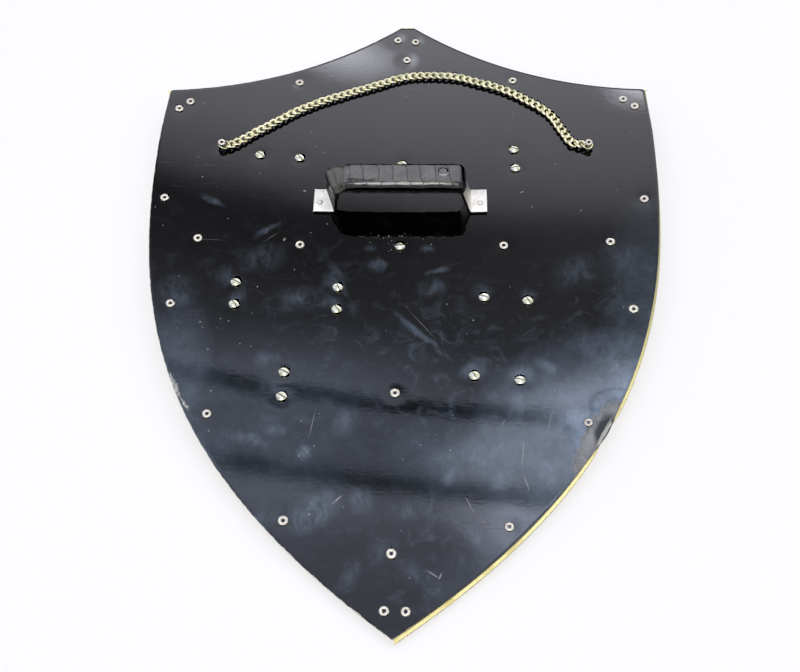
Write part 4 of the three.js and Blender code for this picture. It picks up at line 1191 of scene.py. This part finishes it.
def make_wrap():
    """Tape wound round the strap: each turn steps down to the one before at a slanted seam."""
    start = LINE.distances[CORNER_POINTS * 2] - WRAP_LEFT_DROP
    end = LINE.distances[CORNER_POINTS * 4] + WRAP_RIGHT_DROP
    thick_from = LINE.distances[CORNER_POINTS * 3]
    thick_to = LINE.distances[CORNER_POINTS * 4]
    stations, sides = 560, 144
    sections, seams = [], []
    for i in range(stations + 1):
        distance = lerp(start, end, i / stations)
        spot = LINE.frame_at(distance, 3)
        thick = smooth(distance, thick_from - WRAP_FADE, thick_from + WRAP_FADE)
        thick *= 1 - smooth(distance, thick_to - WRAP_FADE, thick_to + WRAP_FADE)
        depth = lerp(WRAP_LEG_DEPTH, WRAP_DEPTH, thick)
        turns = (distance - start) / (end - start) * WRAP_TURNS
        section = []
        for j, angle in enumerate(around(sides)):
            side, face = math.cos(angle), math.sin(angle)
            waver = 0.16 * noise.noise(Vector((j * 0.05, turns * 0.8, 0)))
            phase = (turns + TAPE_SLANT * side + 0.5 * (face < 0) + waver) % 1
            step_down = smooth(phase, 0.94, 1.0)
            seams.append(smooth(phase, 0.9, 0.94) * (1 - smooth(phase, 0.975, 1.0)))
            lap = WRAP_LAP * (1 + 0.5 * noise.noise(Vector((turns * 0.9, 7.0, side)))) * (0.45 - 0.5 * side)
            swell = lap * (phase * (1 - step_down) - 0.5)
            swell += 0.3 * noise.noise(Vector((distance * 0.12, side, 2 + face)))
            swell += 0.1 * noise.noise(Vector((distance * 0.5, side * 3, 5 + face)))
            across = squared(side, WRAP_SIDE_SHARE) * (WRAP_WIDTH / 2 + swell)
            across *= 1 - WRAP_LEAN * max(face, 0) * min(max(-side * 1.5, 0), 1)
            out = squared(face, WRAP_TOP_SHARE) * (depth / 2 + swell)
            if face > 0:
                reach = math.hypot(spot[0] - STUD_PLACE[0], across - STUD_PLACE[1]) / STUD_RADIUS
                out += STUD_HEIGHT * (1 - smooth(reach, 0.72, 1.0))
                out -= STUD_DISH * (1 - smooth(reach, 0.2, 0.6))
                off_slit = abs(across - SLIT_ACROSS)
                if SLIT_FROM < spot[0] < SLIT_TO and off_slit < SLIT_REACH:
                    out -= SLIT_DEPTH * (1 - smooth(off_slit, 0.3, SLIT_REACH))
            section.append(grip_point(spot, out, across))
        sections.append(section)
    wrap = piece("tape_wrap", loft(sections), MATERIALS["tape"], replaces=["grip_wrap"], sharp=60)
    wrap.data.attributes.new("seam", "FLOAT", "POINT").data.foreach_set("value", seams)


# The chain
CHAIN_INSET = 58.9
CHAIN_DROP = 161.1
CHAIN_RISE = 94.8
CHAIN_HALF_SPAN = HALF_WIDTH - CHAIN_INSET
CHAIN_Y = HALF_HEIGHT - CHAIN_DROP
WIRE_RADIUS = 1.15
WIRE_SWELL = 0.3
LINK_FLATNESS = 0.78
LINK_HALF_LENGTH = 4.4
LINK_HALF_WIDTH = 3.5
SHOWN_HALF_WIDTH = 3.25
LINK_PITCH = 6.72
END_WIRE_RADIUS = 1
END_LINK_HALF_LENGTH = 4.95
END_LINK_HALF_WIDTH = 4.15
END_LINK_PITCH = 6.05
END_LINK_SLACK = 0.9
LINK_TWIST = math.radians(45)
CHAIN_END_LIFT = 1.1
CHAIN_LIFT_REACH = 24
CHAIN_PATH_SHARES = (
    (0, 0), (0.022, 0.01), (0.05, 0.08), (0.071, 0.148), (0.113, 0.264), (0.143, 0.35), (0.205, 0.511),
    (0.261, 0.625), (0.339, 0.748), (0.417, 0.862), (0.49, 0.962), (0.555, 0.991), (0.641, 0.967),
    (0.716, 0.872), (0.765, 0.801), (0.807, 0.715), (0.85, 0.601), (0.889, 0.483), (0.912, 0.375),
    (0.927, 0.256), (0.94, 0.165), (0.958, 0.045), (0.978, 0.02), (1, 0),
)


class ChainRoute:
    """The chain's route as one smooth curve through its points, by distance along it."""

    def __init__(self):
        knots = [
            Vector(((2 * u - 1) * CHAIN_HALF_SPAN, CHAIN_Y + v * CHAIN_RISE)) for u, v in CHAIN_PATH_SHARES
        ]
        knots = [2 * knots[0] - knots[1]] + knots + [2 * knots[-1] - knots[-2]]
        self.points = []
        for a, b, c, d in zip(knots, knots[1:], knots[2:], knots[3:]):
            self.points += [self.between(a, b, c, d, i / 24) for i in range(24)]
        self.points.append(knots[-2])
        self.distances = distances_along(self.points)
        self.length = self.distances[-1]

    @staticmethod
    def between(a, b, c, d, share):
        """A point between b and c of the centripetal spline through four points."""
        knots = [0.0]
        for p, q in ((a, b), (b, c), (c, d)):
            knots.append(knots[-1] + (q - p).length ** 0.5)
        t = lerp(knots[1], knots[2], share)
        points = [a, b, c, d]
        for spans in (((0, 1), (1, 2), (2, 3)), ((0, 2), (1, 3)), ((1, 2),)):
            shares = [(t - knots[i]) / (knots[j] - knots[i]) for i, j in spans]
            points = [p.lerp(q, s) for p, q, s in zip(points, points[1:], shares)]
        return points[0]

    def at(self, distance):
        i, share = stretch_at(self.distances, distance)
        a, b = self.points[i - 1], self.points[i]
        return a.lerp(b, share), (b - a).normalized()


def link_shape(half_length, half_width, wire, steps=32, sides=14):
    """A round wire bent into an oval and twisted about its long axis."""
    centres = []
    for angle in around(steps, 0.5):
        x = half_length * math.cos(angle)
        lean = LINK_TWIST * x / half_length
        y = half_width * math.sin(angle)
        centres.append(Vector((x, y * math.cos(lean), y * math.sin(lean))))
    sections = []
    for i, centre in enumerate(centres):
        tangent = (centres[(i + 1) % steps] - centres[i - 1]).normalized()
        outward = (centre - tangent * centre.dot(tangent)).normalized()
        side = tangent.cross(outward)
        sections.append([
            centre + outward * wire * math.cos(a) + side * wire * math.sin(a) for a in around(sides)
        ])
    return loft(sections, endless=True)


def make_chain():
    route = ChainRoute()
    rest = LINK_HALF_WIDTH * math.sin(LINK_TWIST / 2) + WIRE_RADIUS + SEAT_GAP
    shake = random.Random(5)

    def link_at(sizes, distance, jitter):
        point, tangent = route.at(distance)
        to_end = min(distance, route.length - distance)
        lift = rest + CHAIN_END_LIFT * (1 - smooth(to_end, 0, CHAIN_LIFT_REACH))
        matrix = back_frame(point.x, point.y, tangent, lift)
        matrix = matrix @ Matrix.Rotation(jitter * shake.uniform(-1, 1), 4, "X")
        matrix = matrix @ Matrix.Rotation(0.5 * jitter * shake.uniform(-1, 1), 4, "Z")
        verts, faces = link_shape(*sizes)
        for v in verts:
            v.z *= LINK_FLATNESS
        return placed((verts, faces), matrix)

    sizes = (LINK_HALF_LENGTH, SHOWN_HALF_WIDTH, WIRE_RADIUS + WIRE_SWELL)
    end_sizes = (END_LINK_HALF_LENGTH, END_LINK_HALF_WIDTH, END_WIRE_RADIUS)
    first = END_LINK_HALF_LENGTH - END_WIRE_RADIUS - CHAIN_NECK_RADIUS - END_LINK_SLACK
    start = first + END_LINK_PITCH
    run = route.length - 2 * start
    count = round(run / LINK_PITCH)
    links = [link_at(sizes, start + i * run / count, 0.1) for i in range(count + 1)]
    piece("chain_links", joined(links), MATERIALS["chain"], "chain", ["chain_run"])
    ends = (("chain_end_link_left", first), ("chain_end_link_right", route.length - first))
    for name, distance in ends:
        piece(f"plated_{name}", link_at(end_sizes, distance, 0), MATERIALS["chain"], "chain", [name])


# The stage. The sky's levels are set against y / z + 0.35 x / z of a direction, and its glows and its
# brighter panel as (x / z, y / z, half sizes, ...) of theirs
FLOOR_HALF = 4.0
FLOOR_COLOUR = (0.9, 0.9, 0.9, 1)
FLOOR_GLOW_SHARE = 0.45
SKY_SLANT = 0.35
SKY_REACH = 2.5
SKY_LEVELS = (
    (0.0, 1.0), (0.2, 1.1), (0.27, 1.25), (0.29, 1.45), (0.31, 1.7), (0.326, 1.3), (0.333, 0.12),
    (0.345, 0.12), (0.353, 1.0), (0.4, 1.0), (0.42, 1.15), (0.429, 0.1), (0.441, 0.1), (0.449, 1.3),
    (0.457, 1.3), (0.47, 1.1), (0.49, 0.85), (0.51, 0.65), (0.53, 0.5), (0.55, 0.45), (0.58, 0.35),
    (0.6, 0.3), (0.64, 0.24), (0.675, 0.22), (0.696, 0.34), (0.712, 0.6), (0.727, 0.93), (0.75, 1.3),
    (0.785, 1.65), (0.83, 2.0), (0.87, 2.2), (0.95, 2.5), (1.0, 2.9), (1.08, 2.9), (1.2, 1.2),
    (1.6, 0.6), (2.5, 0.45),
)
SKY_TOP = 4.0
SKY_GLOWS = (
    (-0.066, 1.0, 0.03, 0.06, 10, 7.0), (0.052, 0.918, 0.019, 0.055, 0, 11.0), (0.03, 0.67, 0.09, 0.16, 0, 0.3),
)
SKY_BEHIND = 0.6
SKY_BOOST = (0.037, 0.35, 0.068, 0.17, 0.3, 1.5)
LAMP_TOWARDS = Vector((0, -0.29, 0.957))
LAMP_LEVEL = 7.5
LAMP_EDGE = (0.972, 0.992)
LAMP_TINT = (1.1, 1.0, 0.84, 1)
SKY_TINTS = ((0.93, 1.0, 1.24, 1), (0.98, 0.985, 1.09, 1))


def make_world():
    """A studio ceiling of soft panels with dark gaps between them, and a lamp a little behind the camera."""
    world = bpy.data.worlds.new("soft_studio")
    bpy.context.scene.world = world
    world.use_nodes = True
    tree = world.node_tree
    tree.nodes.clear()
    direction = add(tree, "ShaderNodeTexCoord").outputs["Generated"]
    x, y, z = parts(direction)
    height = most(z, 0.02)
    sideways = maths("DIVIDE", x, height)
    away = maths("DIVIDE", maths("ABSOLUTE", y), height)
    slanted = plus(away, times(sideways, SKY_SLANT))
    curve = add(tree, "ShaderNodeFloatCurve", {"Value": maths("DIVIDE", slanted, SKY_REACH)})
    points = curve.mapping.curves[0].points
    while len(points) > 2:
        points.remove(points[1])
    points[0].location = (0, SKY_LEVELS[0][1] / SKY_TOP)
    points[1].location = (1, SKY_LEVELS[-1][1] / SKY_TOP)
    for reach, level in SKY_LEVELS[1:-1]:
        points.new(reach / SKY_REACH, level / SKY_TOP)
    for point in points:
        point.handle_type = "VECTOR"
    curve.mapping.update()
    level = times(curve.outputs[0], SKY_TOP)
    flat = add(tree, "ShaderNodeCombineXYZ", {0: sideways, 1: away}).outputs[0]
    *spot, rim, boost = SKY_BOOST
    level = times(level, step(soft_spot(flat, *spot), 0.0, rim, 1.0, 1.0 + boost))
    for *spot, strength in SKY_GLOWS:
        level = plus(level, times(soft_spot(flat, *spot), strength))
    level = times(level, step(y, -0.12, 0.08, SKY_BEHIND, 1.0))
    nearness = add(tree, "ShaderNodeVectorMath", {0: direction, 1: LAMP_TOWARDS}, operation="DOT_PRODUCT")
    lamp = step(nearness.outputs["Value"], *LAMP_EDGE)
    level = plus(level, times(lamp, LAMP_LEVEL))
    tint = mixed(lamp, mixed(step(slanted, 0.46, 0.62), *SKY_TINTS), LAMP_TINT)
    lit = add(tree, "ShaderNodeBackground", {"Color": tint, "Strength": level}).outputs[0]
    white = add(tree, "ShaderNodeBackground", {"Color": (1, 1, 1, 1), "Strength": 1.0}).outputs[0]
    seen = add(tree, "ShaderNodeLightPath").outputs["Is Camera Ray"]
    both = add(tree, "ShaderNodeMixShader", {0: seen, 1: lit, 2: white}).outputs[0]
    add(tree, "ShaderNodeOutputWorld", {"Surface": both})


def make_floor():
    mesh = bpy.data.meshes.new("floor")
    mesh.from_pydata([(FLOOR_HALF * u, FLOOR_HALF * v, 0) for u, v in SQUARE], [], [(0, 1, 2, 3)])
    floor = new_object("floor", mesh)
    material = bpy.data.materials.new("pale_floor")
    material.use_nodes = True
    tree = material.node_tree
    shader = tree.nodes["Principled BSDF"]
    fill(shader, {"Base Color": FLOOR_COLOUR, "Roughness": 0.9, "Specular IOR Level": 0})
    path = add(tree, "ShaderNodeLightPath").outputs
    seen = most(path["Is Camera Ray"], path["Is Glossy Ray"])
    seen = most(seen, path["Is Transmission Ray"])
    white = add(tree, "ShaderNodeEmission", {"Strength": 1.0}).outputs[0]
    share = times(seen, FLOOR_GLOW_SHARE)
    both = add(tree, "ShaderNodeMixShader", {0: share, 1: shader.outputs[0], 2: white}).outputs[0]
    fill(tree.nodes["Material Output"], {"Surface": both})
    mesh.materials.append(material)


def make_camera():
    data = bpy.data.cameras.new("camera")
    data.lens = CAMERA_LENS
    data.sensor_width = CAMERA_SENSOR
    camera = new_object("camera", data)
    camera.location = CAMERA_PLACE
    camera.rotation_euler = [math.radians(angle) for angle in CAMERA_TURN_DEGREES]
    bpy.context.scene.camera = camera


bpy.context.scene.view_settings.view_transform = "Standard"
make_camera()
make_world()
make_floor()
SCREWS = screw_places()
RIVETS = [tuple(place_of(node)[:2]) for node in sorted(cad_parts) if node.startswith("rivet_")]
make_plate(SCREWS + RIVETS)
make_front_strips()
make_rivets()
make_screws(SCREWS)
make_badges()
make_strap()
make_wrap()
make_chain()
